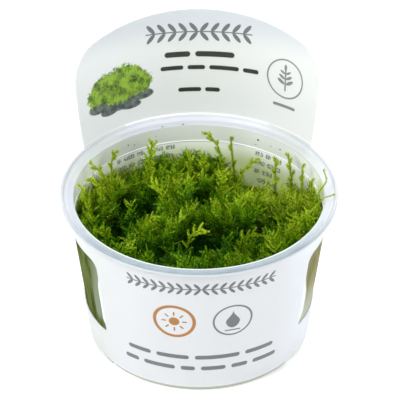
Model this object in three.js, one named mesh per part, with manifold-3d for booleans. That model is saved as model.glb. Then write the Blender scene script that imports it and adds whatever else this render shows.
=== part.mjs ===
// Potted christmas moss: a tissue-culture cup of aquarium moss, with the printed sleeve that
// wraps the cup and stands up behind it as a header.
// Millimetres, +Z up. The origin is the centre of the cup's base, X is to the right and Y to the
// back, seen from in front of the sleeve. A bearing is an angle round the cup from the front.

import * as THREE from 'three';
import { mergeVertices } from 'three/addons/utils/BufferGeometryUtils.js';
import Module from 'manifold-3d';

const wasm = await Module();
wasm.setup();

// Clearance between pieces that touch
const GAP = 0.3;

// Cup: a conical wall, a stacking ledge, a straight collar and a flange with a rolled lip
const RIM_RADIUS = 50;
const RIM_HEIGHT = 60;
const BASE_RADIUS = 39.2;
const WALL_SLOPE = 0.137;
const WALL = 1.1;
const FLOOR = 1.3;
const FLOOR_BEND = 1.2;
const FOOT_CHAMFER = 0.6;
const LEDGE_HEIGHT = 51;
const OPENING_RADIUS = 45.1;
const OPENING_HEIGHT = 58.2;
const CHANNEL_RADIUS = 47.7;
const FLANGE = 1.2;
const LIP = 1.1;
const LIP_DROP = 2.1;
const EASE = 0.4;
const ROUND_SEGMENTS = 52;

// Sleeve: a thin sheet round the cup, with a window on each side and a header behind the rim
const SHEET = 0.4;
const SLEEVE_BOTTOM = 1.8;
const SLEEVE_TOP = 56.2;
const WINDOW_FRONT_LEFT = 53.6;
const WINDOW_FRONT_RIGHT = 57.2;
const WINDOW_BACK = 117;
const WINDOW_SILL = 15.8;
const WINDOW_LINTEL = 48.6;
const SILL_CORNER = 1.6;
const LINTEL_CORNER = 3.8;
const SLOT_HALF_WIDTH = 27.5;
const HEADER_HALF_WIDTH = 48.6;
const HEADER_HEIGHT = 102.3;
const HEADER_CROWN_RADIUS = 106;
const HEADER_CORNER = 8.8;
const HEADER_LEAN = 0.12;
const HEADER_UNROLL = 0.73;
const BULGE_END = 78;
const COLUMN_STEP = 7.5;
const HEADER_ROWS = 6;
const WINDOW_ROW = 1;
const SLOT_ROW = 3;
const SLEEVE_ROWS = SLOT_ROW + HEADER_ROWS;

// Moss: a cushion that fills the cup, and the shoots that stand out of it
const CUSHION_TOP = 49.5;
const BACK_DROP = 4.5;
const RIGHT_BACK_DROP = 9.5;
const RIGHT_RISE = 3.5;
const LEFT_RISE = 1.5;
const CUSHION_SEGMENTS = 40;
const CUSHION_CELLS = 17;
const STEM_RADIUS = 0.8;
const STEM_TIP_RADIUS = 0.35;
const STEM_SIDES = 4;
const STEM_RING_STEP = 3.8;
const ROOT_DEPTH = 3.5;
const BRANCHES = 3;
const BRANCH_START = 0.43;
const BRANCH_END = 0.85;
const BRANCH_LENGTH = 3.4;
const BRANCH_TIP_LENGTH = 2;
const BRANCH_RADIUS = 0.5;
const BRANCH_TIP_RADIUS = 0.25;
const BRANCH_ANGLE = 52;
const BRANCH_SIDES = 3;
const BRANCH_RINGS = 1;

// Hollows in the cushion's top: [x, y, radius, depth]
const HOLLOWS = [
  [-21, 12, 8, 9],
  [3, 15, 5.5, 8],
  [2, -14, 6.5, 9],
  [20, -10, 6, 8],
  [-30, -10, 6, 7],
];

// Colours and finishes
const CUP_FINISH = { color: 0xe6ecec, roughness: 0.3, metalness: 0, transparent: true, opacity: 0.6 };
const SLEEVE_FINISH = { color: 0xeceef0, roughness: 0.4, metalness: 0 };
const CUSHION_FINISH = { color: 0x3f6410, roughness: 0.75, metalness: 0 };
const SHOOT_FINISH = { color: 0x8fae22, roughness: 0.6, metalness: 0 };

const radians = THREE.MathUtils.degToRad;
const wallOutside = (z) => BASE_RADIUS + WALL_SLOPE * z;
const wallInside = (z) => wallOutside(z) - WALL;
const vec = (x, y, z) => new THREE.Vector3(x, y, z);

// Makes a geometry with nothing but positions and shared vertices
function positionsOnly(geometry) {
  const bare = new THREE.BufferGeometry();
  bare.setAttribute('position', geometry.getAttribute('position').clone());
  if (geometry.index) bare.setIndex(geometry.index.clone());
  return mergeVertices(bare, 1e-4);
}

// Turns a three.js geometry into a solid that can be cut and joined
function toSolid(geometry) {
  const shared = positionsOnly(geometry);
  const vertProperties = new Float32Array(shared.getAttribute('position').array);
  const triVerts = new Uint32Array(shared.index.array);
  return new wasm.Manifold(new wasm.Mesh({ numProp: 3, vertProperties, triVerts }));
}

// Turns a solid back into a three.js geometry
function toGeometry(solid) {
  const { vertProperties, triVerts } = solid.getMesh();
  const geometry = new THREE.BufferGeometry();
  geometry.setAttribute('position', new THREE.BufferAttribute(new Float32Array(vertProperties), 3));
  geometry.setIndex(new THREE.BufferAttribute(new Uint32Array(triVerts), 1));
  geometry.computeVertexNormals();
  return geometry;
}

// Spins an outline of [radius, height] points round +Z
function spin(outline, segments) {
  const points = outline.map(([radius, height]) => new THREE.Vector2(radius, height));
  return new THREE.LatheGeometry(points, segments).rotateX(Math.PI / 2);
}

// The cup, from the middle of its base up the outside, over the lip and down the inside
function cupGeometry() {
  const collarOutside = wallOutside(LEDGE_HEIGHT);
  const flangeUnder = OPENING_HEIGHT - FLANGE;
  const lipFoot = RIM_HEIGHT - LIP_DROP;
  const floorBend = FLOOR + FLOOR_BEND;
  return spin([
    [0, 0],
    [BASE_RADIUS - FOOT_CHAMFER, 0],
    [wallOutside(FOOT_CHAMFER), FOOT_CHAMFER],
    [collarOutside, LEDGE_HEIGHT],
    [collarOutside, flangeUnder],
    [CHANNEL_RADIUS, flangeUnder + EASE],
    [RIM_RADIUS - 2 * EASE, lipFoot],
    [RIM_RADIUS, lipFoot + EASE],
    [RIM_RADIUS, RIM_HEIGHT - EASE],
    [RIM_RADIUS - EASE, RIM_HEIGHT],
    [RIM_RADIUS - LIP, RIM_HEIGHT],
    [CHANNEL_RADIUS + EASE, OPENING_HEIGHT + EASE],
    [CHANNEL_RADIUS - EASE, OPENING_HEIGHT],
    [OPENING_RADIUS + EASE, OPENING_HEIGHT],
    [OPENING_RADIUS, OPENING_HEIGHT - EASE],
    [OPENING_RADIUS, LEDGE_HEIGHT + EASE],
    [wallInside(LEDGE_HEIGHT), LEDGE_HEIGHT - EASE / 2],
    [wallInside(floorBend), floorBend],
    [wallInside(FLOOR) - FLOOR_BEND, FLOOR],
    [0, FLOOR],
  ], ROUND_SEGMENTS);
}

// How far the sleeve stands off the cup at a bearing, so that its back passes outside the lip
function bulgeAt(bearing) {
  const headerEdge = 180 - THREE.MathUtils.radToDeg(HEADER_HALF_WIDTH / (RIM_RADIUS + GAP));
  const most = RIM_RADIUS + GAP - (wallOutside(OPENING_HEIGHT) + GAP);
  return most * THREE.MathUtils.smoothstep(Math.abs(bearing), BULGE_END, headerEdge);
}

// A point of the sheet at a bearing and height, offset outwards by its thickness or none
function sleevePoint(bearing, height, offset) {
  const angle = radians(bearing);
  if (height <= RIM_HEIGHT) {
    const share = Math.min(height / OPENING_HEIGHT, 1);
    const cone = wallOutside(Math.min(height, OPENING_HEIGHT)) + GAP;
    const radius = cone + bulgeAt(bearing) * share + offset;
    return vec(radius * Math.sin(angle), -radius * Math.cos(angle), height);
  }
  const above = height - RIM_HEIGHT;
  const curl = RIM_RADIUS + GAP + HEADER_UNROLL * above;
  const along = radians(180 - Math.abs(bearing)) * (RIM_RADIUS + GAP) * Math.sign(bearing || 1);
  const back = RIM_RADIUS + GAP + HEADER_LEAN * above;
  const turn = along / curl;
  return vec((curl + offset) * Math.sin(turn), back - curl + (curl + offset) * Math.cos(turn), height);
}

// Distance along the sheet from the middle of the back, on the header's own width
function alongHeader(bearing) {
  return radians(180 - Math.abs(bearing)) * (RIM_RADIUS + GAP);
}

// Height of the header's domed top edge at a distance from its middle
function headerTop(along) {
  const crown = HEADER_HEIGHT - HEADER_CROWN_RADIUS
    + Math.sqrt(HEADER_CROWN_RADIUS ** 2 - along ** 2);
  const intoCorner = along - (HEADER_HALF_WIDTH - HEADER_CORNER);
  if (intoCorner <= 0) return crown;
  return crown - HEADER_CORNER + Math.sqrt(Math.max(HEADER_CORNER ** 2 - intoCorner ** 2, 0));
}

// Bearing of a window's front edge on the side of a bearing; the sheet sits a little askew
function windowFront(bearing) {
  return bearing < 0 ? WINDOW_FRONT_LEFT : WINDOW_FRONT_RIGHT;
}

// How far a rounded corner eats into the window's height at a distance from the window's end
function cornerRise(fromEnd, corner) {
  const left = Math.max(corner - fromEnd, 0);
  return corner - Math.sqrt(Math.max(corner ** 2 - left ** 2, 0));
}

// Bearings of the sheet's columns from front to back on one side, with extra ones at corners.
// Hand is -1 for the left side and 1 for the right one.
function columnBearings(hand) {
  const middle = wallOutside((WINDOW_SILL + WINDOW_LINTEL) / 2);
  const perMillimetre = THREE.MathUtils.radToDeg(1 / middle);
  const headerDegrees = (along) => 180 - THREE.MathUtils.radToDeg(along / (RIM_RADIUS + GAP));
  const special = [headerDegrees(SLOT_HALF_WIDTH)];
  for (const turn of [0, 35, 65, 90]) {
    const inward = LINTEL_CORNER * (1 - Math.cos(radians(turn))) * perMillimetre;
    special.push(windowFront(hand) + inward, WINDOW_BACK - inward);
  }
  for (const turn of [0, 25, 50, 75]) {
    special.push(headerDegrees(HEADER_HALF_WIDTH - HEADER_CORNER * (1 - Math.cos(radians(turn)))));
  }
  const regular = [];
  for (let bearing = 0; bearing <= 180; bearing += COLUMN_STEP) {
    if (special.every((other) => Math.abs(other - bearing) > COLUMN_STEP / 3)) regular.push(bearing);
  }
  return [...special, ...regular].sort((a, b) => a - b);
}

// Heights of the sheet's rows at one bearing: foot, sill, lintel, band top, then the header
function columnHeights(bearing) {
  const side = Math.abs(bearing);
  const middle = wallOutside((WINDOW_SILL + WINDOW_LINTEL) / 2);
  const degreesIn = Math.min(side - windowFront(bearing), WINDOW_BACK - side);
  const fromEnd = Math.max(radians(degreesIn) * middle, 0);
  const rise = (corner) => (degreesIn > -1e-6 ? cornerRise(fromEnd, corner) : 0);
  const rows = [
    SLEEVE_BOTTOM,
    WINDOW_SILL + rise(SILL_CORNER),
    WINDOW_LINTEL - rise(LINTEL_CORNER),
    SLEEVE_TOP,
  ];
  const along = alongHeader(bearing);
  if (along > HEADER_HALF_WIDTH + 1e-6) return rows;
  const top = headerTop(along);
  for (let row = 0; row < HEADER_ROWS; row += 1) {
    rows.push(RIM_HEIGHT + (top - RIM_HEIGHT) * (row / (HEADER_ROWS - 1)));
  }
  return rows;
}

// The sleeve as one sheet with thickness: both faces, and a wall along every free edge. It is open
// at the windows, and behind the rim at a slot that the lip shows through.
function sleeveGeometry() {
  const left = columnBearings(-1).slice(1, -1).map((bearing) => -bearing).reverse();
  const bearings = [...columnBearings(1), ...left];
  const count = bearings.length;
  const heights = bearings.map(columnHeights);
  const open = (column, row) => {
    const after = (column + 1) % count;
    const middle = (Math.abs(bearings[column]) + Math.abs(bearings[after])) / 2;
    const front = windowFront(Math.min(bearings[column], bearings[after]));
    const isWindow = row === WINDOW_ROW && middle > front && middle < WINDOW_BACK;
    const isSlot = row === SLOT_ROW && alongHeader(middle) < SLOT_HALF_WIDTH;
    const rows = Math.min(heights[column].length, heights[after].length) - 1;
    return isWindow || isSlot || row < 0 || row >= rows;
  };
  const corners = [];
  const at = (column, row, outside) => {
    const wrapped = column % count;
    return sleevePoint(bearings[wrapped], heights[wrapped][row], outside ? SHEET : 0);
  };
  const quad = (a, b, c, d) => corners.push(a, b, c, a, c, d);
  for (let column = 0; column < count; column += 1) {
    const next = column + 1;
    const before = (column + count - 1) % count;
    for (let row = 0; row < SLEEVE_ROWS; row += 1) {
      if (open(column, row)) continue;
      quad(at(column, row, 1), at(next, row, 1), at(next, row + 1, 1), at(column, row + 1, 1));
      quad(at(column, row, 0), at(column, row + 1, 0), at(next, row + 1, 0), at(next, row, 0));
      if (open(column, row - 1)) {
        quad(at(column, row, 0), at(next, row, 0), at(next, row, 1), at(column, row, 1));
      }
      if (open(column, row + 1)) {
        const above = row + 1;
        quad(at(column, above, 1), at(next, above, 1), at(next, above, 0), at(column, above, 0));
      }
      if (open(before, row)) {
        quad(at(column, row, 0), at(column, row, 1), at(column, row + 1, 1), at(column, row + 1, 0));
      }
      if (open(next % count, row)) {
        quad(at(next, row, 1), at(next, row, 0), at(next, row + 1, 0), at(next, row + 1, 1));
      }
    }
  }
  const geometry = new THREE.BufferGeometry().setFromPoints(corners);
  const shared = positionsOnly(geometry);
  shared.computeVertexNormals();
  return shared;
}

// Height of the cushion's top: lower at the back, most of all on the right, with small lumps
function cushionHeight(x, y) {
  const distance = Math.hypot(x, y) / OPENING_RADIUS;
  const back = THREE.MathUtils.smoothstep(y, 0, 32);
  const right = THREE.MathUtils.smoothstep(x, 8, 20);
  let height = CUSHION_TOP - (BACK_DROP + RIGHT_BACK_DROP * right) * back;
  height += RIGHT_RISE * THREE.MathUtils.smoothstep(x, 22, 42) * (1 - back);
  height += LEFT_RISE * THREE.MathUtils.smoothstep(-x, 25, 42) * (1 - back);
  height += 1.3 * Math.sin(0.31 * x + 0.6) * Math.cos(0.27 * y - 0.4) * (1 - 0.5 * distance);
  height += 0.9 * Math.sin(0.55 * x - 0.38 * y);
  height += 1.5 * Math.sin(0.6 * x + 1.1) * Math.sin(0.57 * y + 0.3) * (1 - 0.4 * distance);
  for (const [hollowX, hollowY, radius, depth] of HOLLOWS) {
    height -= depth * Math.exp(-(((x - hollowX) ** 2 + (y - hollowY) ** 2) / radius ** 2));
  }
  return height;
}

// The cushion before its sockets are cut: a block with a lumpy top, trimmed to the cup's inside
function cushionSolid() {
  const span = 2 * OPENING_RADIUS + 2;
  const block = new THREE.BoxGeometry(span, span, 1, CUSHION_CELLS, CUSHION_CELLS, 1);
  const position = block.getAttribute('position');
  for (let i = 0; i < position.count; i += 1) {
    const height = cushionHeight(position.getX(i), position.getY(i));
    position.setZ(i, position.getZ(i) > 0 ? height : 0);
  }
  const bottom = FLOOR + GAP;
  const clearance = 2 * GAP;
  const plug = spin([
    [0, bottom],
    [wallInside(bottom) - FLOOR_BEND - clearance, bottom],
    [wallInside(bottom + FLOOR_BEND) - clearance, bottom + FLOOR_BEND],
    [wallInside(LEDGE_HEIGHT) - clearance, LEDGE_HEIGHT],
    [wallInside(LEDGE_HEIGHT) - clearance, RIM_HEIGHT],
    [0, RIM_HEIGHT],
  ], CUSHION_SEGMENTS);
  return toSolid(block).intersect(toSolid(plug));
}

// Shoots: foot [x, y] on the cushion, then the points that the stem passes, up to its tip.
// Face is the bearing that the flat of the frond looks towards.
const SHOOTS = [
  { name: 'shoot_back_arching', face: 10, foot: [10.5, 23], stem: [[7.8, 30, 57.3], [3.1, 33.9, 62.4]] },
  { name: 'shoot_back_upright', face: -15, foot: [14.5, 26], stem: [[13, 29.6, 52], [12.2, 31.7, 61.8]] },
  { name: 'shoot_back_broad', face: 0, foot: [-18, 24], stem: [[-17.6, 28, 51], [-16.5, 34.5, 58.5]] },
  { name: 'shoot_back_short_left', face: 20, foot: [-3, 30], stem: [[-2.7, 35.2, 51.6]] },
  { name: 'shoot_back_short_right', face: -10, foot: [3.2, 31], stem: [[1.9, 36.4, 50.6]] },
  { name: 'shoot_back_leaning', face: -10, foot: [13.5, 17], stem: [[16, 22, 51.7], [22, 27.4, 55]] },
  { name: 'shoot_left_slender', face: 5, foot: [-30.5, 16], stem: [[-31.5, 22.9, 55.3], [-29.8, 25.9, 60]] },
  { name: 'shoot_left_reaching', face: -10, foot: [-28.5, 8], stem: [[-33.5, 12, 57], [-39.5, 17.2, 61]] },
  { name: 'shoot_left_low', face: 10, foot: [-33, 3], stem: [[-35.6, 7.5, 56.6], [-39.9, 10.6, 58.3]] },
  { name: 'shoot_left_edge', face: 25, foot: [-37, -4], stem: [[-40.6, -0.5, 55.8], [-42.7, 5.5, 58.8]] },
  { name: 'shoot_right_back', face: -5, foot: [28.2, 17], stem: [[28.2, 21, 51], [28.4, 25.2, 56.4]] },
  { name: 'shoot_right_forked', face: -20, foot: [34, 14], stem: [[34, 18, 51.6], [33, 25, 58.8]] },
  { name: 'shoot_right_upright', face: -10, foot: [36.8, 6.5], stem: [[37.4, 10, 52], [38, 16.9, 59.4]] },
  { name: 'shoot_right_short', face: -10, foot: [40.4, 1.5], stem: [[40.8, 6.8, 55], [41, 10, 57]] },
  {
    name: 'shoot_right_curling',
    face: 0,
    foot: [38.5, -5],
    stem: [[42.7, -2.2, 59.6], [45.8, 1.8, 62.4], [44.8, 5, 65]],
  },
  {
    name: 'shoot_right_over_rim',
    face: 0,
    foot: [38.5, -9],
    stem: [[42.5, -7, 58.3], [45.6, -5.7, 60.2], [48.4, -4.9, 61.2]],
  },
  { name: 'shoot_middle_back', face: 15, foot: [6, 9], stem: [[8, 12, 53], [9, 17, 57]] },
  { name: 'shoot_middle_left', face: -20, foot: [-12, 4], stem: [[-13, 7, 53.5], [-17, 10, 57]] },
  { name: 'shoot_middle_right', face: 20, foot: [21, 3], stem: [[22, 6, 54], [26, 9, 57.5]] },
  { name: 'shoot_front_left', face: 15, foot: [-22, -14], stem: [[-21, -13, 53], [-16, -10, 56.5]] },
  { name: 'shoot_front_middle', face: -10, foot: [-5, -21], stem: [[-4, -21, 53.5], [1, -19, 57]] },
  { name: 'shoot_front_right', face: 10, foot: [14, -23], stem: [[15, -22, 54], [20, -22, 57]] },
  { name: 'shoot_front_right_edge', face: -20, foot: [30, -20], stem: [[32, -20, 56], [35, -22, 59.5]] },
  { name: 'shoot_front_left_edge', face: 10, foot: [-33, -19], stem: [[-34, -19, 55], [-36, -21, 58.5]] },
];

// A tapered strand along a path, closed at both ends. Side is across the path, and grow makes
// the strand thicker and longer by that much all round.
function strandGeometry(path, side, footRadius, tipRadius, sides, rings, grow) {
  const outline = [new THREE.Vector2(0, 0)];
  for (let ring = 0; ring <= rings; ring += 1) {
    const share = ring / rings;
    outline.push(new THREE.Vector2(THREE.MathUtils.lerp(footRadius, tipRadius, share) + grow, share * 0.94));
  }
  outline.push(new THREE.Vector2(0, 1));
  const geometry = new THREE.LatheGeometry(outline, sides);
  const position = geometry.getAttribute('position');
  const length = path.getLength();
  for (let i = 0; i < position.count; i += 1) {
    const reach = position.getY(i) * (length + 2 * grow) - grow;
    const share = THREE.MathUtils.clamp(reach / length, 0, 1);
    const ahead = path.getTangentAt(share);
    const across = side.clone().addScaledVector(ahead, -side.dot(ahead)).normalize();
    const over = across.clone().cross(ahead);
    const point = path.getPointAt(share).addScaledVector(ahead, reach - share * length);
    point.addScaledVector(across, position.getX(i)).addScaledVector(over, position.getZ(i));
    position.setXYZ(i, point.x, point.y, point.z);
  }
  return geometry;
}

// One shoot: a stem rooted in the cushion, with side branches to the left and right in turn
function shootSolid(shoot, grow) {
  const [footX, footY] = shoot.foot;
  const root = vec(footX, footY, cushionHeight(footX, footY) - ROOT_DEPTH);
  const stops = shoot.stem.map(([x, y, z]) => vec(x, y, z));
  const path = new THREE.CatmullRomCurve3([root, ...stops]);
  const chord = stops.at(-1).clone().sub(root).normalize();
  const face = radians(shoot.face);
  const side = chord.clone().cross(vec(Math.sin(face), -Math.cos(face), 0.35)).normalize();
  const rings = Math.max(Math.round(path.getLength() / STEM_RING_STEP), 3);
  const stem = strandGeometry(path, side, STEM_RADIUS, STEM_TIP_RADIUS, STEM_SIDES, rings, grow);
  let solid = toSolid(stem);
  for (let branch = 0; branch < BRANCHES; branch += 1) {
    const share = THREE.MathUtils.lerp(BRANCH_START, BRANCH_END, branch / (BRANCHES - 1));
    const hand = branch % 2 ? 1 : -1;
    const length = THREE.MathUtils.lerp(BRANCH_LENGTH, BRANCH_TIP_LENGTH, branch / (BRANCHES - 1));
    const start = path.getPointAt(share);
    const ahead = path.getTangentAt(share);
    const lean = radians(BRANCH_ANGLE);
    const elbow = start.clone().addScaledVector(side, hand * length * 0.5 * Math.sin(lean))
      .addScaledVector(ahead, length * 0.5 * Math.cos(lean));
    const tip = elbow.clone().addScaledVector(side, hand * length * 0.4 * Math.sin(lean))
      .addScaledVector(ahead, length * 0.6);
    const twig = new THREE.QuadraticBezierCurve3(start, elbow, tip);
    const flat = chord.clone().cross(side);
    solid = solid.add(toSolid(strandGeometry(
      twig, flat, BRANCH_RADIUS, BRANCH_TIP_RADIUS, BRANCH_SIDES, BRANCH_RINGS, grow)));
  }
  return solid;
}

// One named mesh with a material of its own
function pieceMesh(name, geometry, finish) {
  const mesh = new THREE.Mesh(geometry, new THREE.MeshStandardMaterial(finish));
  mesh.name = name;
  return mesh;
}

// The whole object: the cup, its sleeve, and the moss with a socket in it for each shoot
function pottedMoss() {
  const pot = new THREE.Group();
  pot.add(pieceMesh('cup', cupGeometry(), CUP_FINISH));
  pot.add(pieceMesh('label_sleeve', sleeveGeometry(), SLEEVE_FINISH));
  const moss = new THREE.Group();
  let cushion = cushionSolid();
  for (const shoot of SHOOTS) {
    cushion = cushion.subtract(shootSolid(shoot, GAP));
    moss.add(pieceMesh(shoot.name, toGeometry(shootSolid(shoot, 0)), SHOOT_FINISH));
  }
  moss.add(pieceMesh('moss_cushion', toGeometry(cushion), CUSHION_FINISH));
  pot.add(moss);
  return pot;
}

export default pottedMoss();
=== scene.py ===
"""Potted christmas moss: a milky plastic cup of aquarium moss in a printed sleeve with a header.

Everything is in metres, +Z up, with the origin at the centre of the cup's base, +X to the right
and +Y to the back, seen from the front of the sleeve. A bearing is an angle round the cup from
the front, positive to the right.
"""

from __future__ import annotations

import logging
import math
from dataclasses import dataclass, field, replace
from enum import Enum
from typing import Callable, Sequence, Union

import bpy
import numpy as np
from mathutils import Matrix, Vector


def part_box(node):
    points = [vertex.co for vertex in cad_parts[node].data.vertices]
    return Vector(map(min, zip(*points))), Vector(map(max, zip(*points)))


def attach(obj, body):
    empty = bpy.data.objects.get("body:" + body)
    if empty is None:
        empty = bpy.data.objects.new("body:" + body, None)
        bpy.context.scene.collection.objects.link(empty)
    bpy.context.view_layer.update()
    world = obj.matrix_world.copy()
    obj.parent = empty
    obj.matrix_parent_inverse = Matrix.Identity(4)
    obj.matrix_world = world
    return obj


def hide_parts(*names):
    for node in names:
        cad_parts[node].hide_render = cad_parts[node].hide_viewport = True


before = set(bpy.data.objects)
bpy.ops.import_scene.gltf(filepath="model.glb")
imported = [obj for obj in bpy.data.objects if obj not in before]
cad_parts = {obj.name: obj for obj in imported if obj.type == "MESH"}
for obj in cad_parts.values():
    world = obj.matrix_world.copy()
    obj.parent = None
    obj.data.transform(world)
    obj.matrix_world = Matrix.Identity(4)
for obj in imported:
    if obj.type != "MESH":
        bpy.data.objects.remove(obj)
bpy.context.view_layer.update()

LOG = logging.getLogger("potted_moss")
MM = 0.001
WELD = 2e-6  # Points closer than this are merged
ROOT_BODY = "root"

Array = np.ndarray
Material = bpy.types.Material
Piece = bpy.types.Object
Socket = bpy.types.NodeSocket
Source = Union[Socket, float, Sequence[float]]
Inputs = dict[Union[str, int], Source]
Colour = tuple[float, float, float]
Outline = list[tuple[float, float]]
Pair = tuple[float, float]


class Slot(Enum):
    """The record's material slots."""

    CUP = "cup_plastic"
    SLEEVE = "sleeve_film"
    CUSHION = "moss_cushion"
    SHOOT = "moss_shoot"


class SheetFace(Enum):
    """The two faces of the sleeve's sheet, which carry different print."""

    OUTSIDE = 0
    INSIDE = 1


# Shader helpers


@dataclass(frozen=True)
class Pattern:
    """Soft blotches: a noise that is eased from start to end where it goes from low to high."""

    scale: float
    detail: float
    low: float
    high: float
    start: float = 0.0
    end: float = 1.0


class Graph:
    """A node tree with short calls for adding and joining its nodes."""

    def __init__(self, tree: bpy.types.NodeTree) -> None:
        """Wraps a node tree."""
        self.tree = tree

    def node(self, kind: str, inputs: Inputs | None = None, **settings: object) -> bpy.types.Node:
        """Adds a node.

        Args:
            kind: Its type name, without the leading ShaderNode.
            inputs: What its inputs get, as in feed.
            **settings: Its properties.

        Returns:
            The new node.
        """
        made = self.tree.nodes.new(f"ShaderNode{kind}")
        for name, value in settings.items():
            setattr(made, name, value)
        self.feed(made, inputs or {})
        return made

    def feed(self, node: bpy.types.Node, inputs: Inputs) -> None:
        """Links or sets a node's inputs.

        Args:
            node: The node.
            inputs: A source for each input's name or number.
        """
        for name, source in inputs.items():
            target = node.inputs[name]
            if isinstance(source, Socket):
                self.tree.links.new(source, target)
            else:
                target.default_value = (*source, 1.0) if target.type == "RGBA" else source

    def place(self) -> Socket:
        """Places in the piece's own space."""
        return self.node("TexCoord").outputs["Object"]

    def split(self, vector: Source) -> Sequence[Socket]:
        """Takes a vector apart into its three numbers."""
        return self.node("SeparateXYZ", {0: vector}).outputs[:3]

    def join(self, x: Source, y: Source) -> Socket:
        """Makes a flat vector of two numbers."""
        return self.node("CombineXYZ", {0: x, 1: y}).outputs[0]

    def math(self, operation: str, *values: Source) -> Socket:
        """Adds a Math node and returns its result."""
        return self.node("Math", dict(enumerate(values)), operation=operation).outputs[0]

    def times(self, *values: Source) -> Socket:
        """Multiplies values.

        Args:
            *values: Two values or more.

        Returns:
            Their product.
        """
        product = values[0]
        for value in values[1:]:
            product = self.math("MULTIPLY", product, value)
        return product

    def vector(self, operation: str, *vectors: Source) -> Socket:
        """Adds a Vector Math node and returns its vector, or the length."""
        made = self.node("VectorMath", dict(enumerate(vectors)), operation=operation)
        return made.outputs["Value" if operation == "LENGTH" else "Vector"]

    def length(self, x: Source, y: Source) -> Socket:
        """Length of a flat vector."""
        return self.vector("LENGTH", self.join(x, y))

    def fade(
        self, value: Source, low: Source, high: Source, start: Source = 0.0, end: Source = 1.0
    ) -> Socket:
        """Eases from start to end as a value goes from low to high."""
        limits = {"Value": value, "From Min": low, "From Max": high, "To Min": start, "To Max": end}
        return self.node("MapRange", limits, interpolation_type="SMOOTHSTEP").outputs["Result"]

    def fade_past(
        self, value: Source, size: float, ends: Pair, start: Source = 0.0, end: Source = 1.0
    ) -> Socket:
        """Eases from start to end between two distances from a size."""
        return self.fade(value, size + ends[0], size + ends[1], start, end)

    def inside(self, value: Source, rise: Pair, fall: Pair) -> Socket:
        """Eases from 0 to 1 over one range and back to 0 over another."""
        return self.times(self.fade(value, *rise), self.fade(value, *fall, 1.0, 0.0))

    def soft_end(self, value: Source, end: Source, width: Source) -> Socket:
        """Falls straight from 1 to 0 over a width before a value comes to an end."""
        share = {0: self.math("SUBTRACT", end, value), 1: width}
        return self.node("Math", share, operation="DIVIDE", use_clamp=True).outputs[0]

    def mix(self, share: Source, first: Source, second: Source) -> Socket:
        """Mixes two colours and returns the result."""
        inputs = {"Factor": share, "A": first, "B": second}
        return self.node("Mix", inputs, data_type="RGBA").outputs["Result"]

    def noise(self, place: Source, scale: float, detail: float, output: str = "Fac") -> Socket:
        """Adds a noise pattern and returns its value, or its colour."""
        inputs = {"Vector": place, "Scale": scale, "Detail": detail}
        return self.node("TexNoise", inputs).outputs[output]

    def blotches(self, place: Source, kind: Pattern) -> Socket:
        """Adds a pattern of soft blotches and returns its value."""
        value = self.noise(place, kind.scale, kind.detail)
        return self.fade(value, kind.low, kind.high, kind.start, kind.end)


def new_material(name: str) -> tuple[Material, Graph, bpy.types.Node]:
    """Starts a material.

    Args:
        name: Its name.

    Returns:
        The material with its graph and its surface shader.
    """
    material = bpy.data.materials.new(name)
    material.use_nodes = True
    return material, Graph(material.node_tree), material.node_tree.nodes["Principled BSDF"]


# Camera and studio


@dataclass
class StudioView:
    """The camera that looks down on the cup from the photograph's angle."""

    distance: float = 1.5
    elevation: float = math.radians(35.07)
    azimuth: float = math.radians(-1.1)
    aim: Vector = field(default_factory=lambda: Vector((0.35, 0.0, 55.91)) * MM)
    lens: float = 374.9
    sensor: float = 36.0
    reach: float = 20.0

    def build(self) -> None:
        """Makes the camera and sets it as the scene's."""
        data = bpy.data.cameras.new("view")
        data.lens, data.sensor_width, data.clip_end = self.lens, self.sensor, self.reach
        camera = bpy.data.objects.new("view", data)
        level = self.distance * math.cos(self.elevation)
        sideways = Vector((math.sin(self.azimuth), -math.cos(self.azimuth), 0.0)) * level
        up = Vector((0.0, 0.0, self.distance * math.sin(self.elevation)))
        camera.location = self.aim + sideways + up
        camera.rotation_euler = (math.pi / 2 - self.elevation, 0.0, self.azimuth)
        bpy.context.scene.collection.objects.link(camera)
        bpy.context.scene.camera = camera


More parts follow.
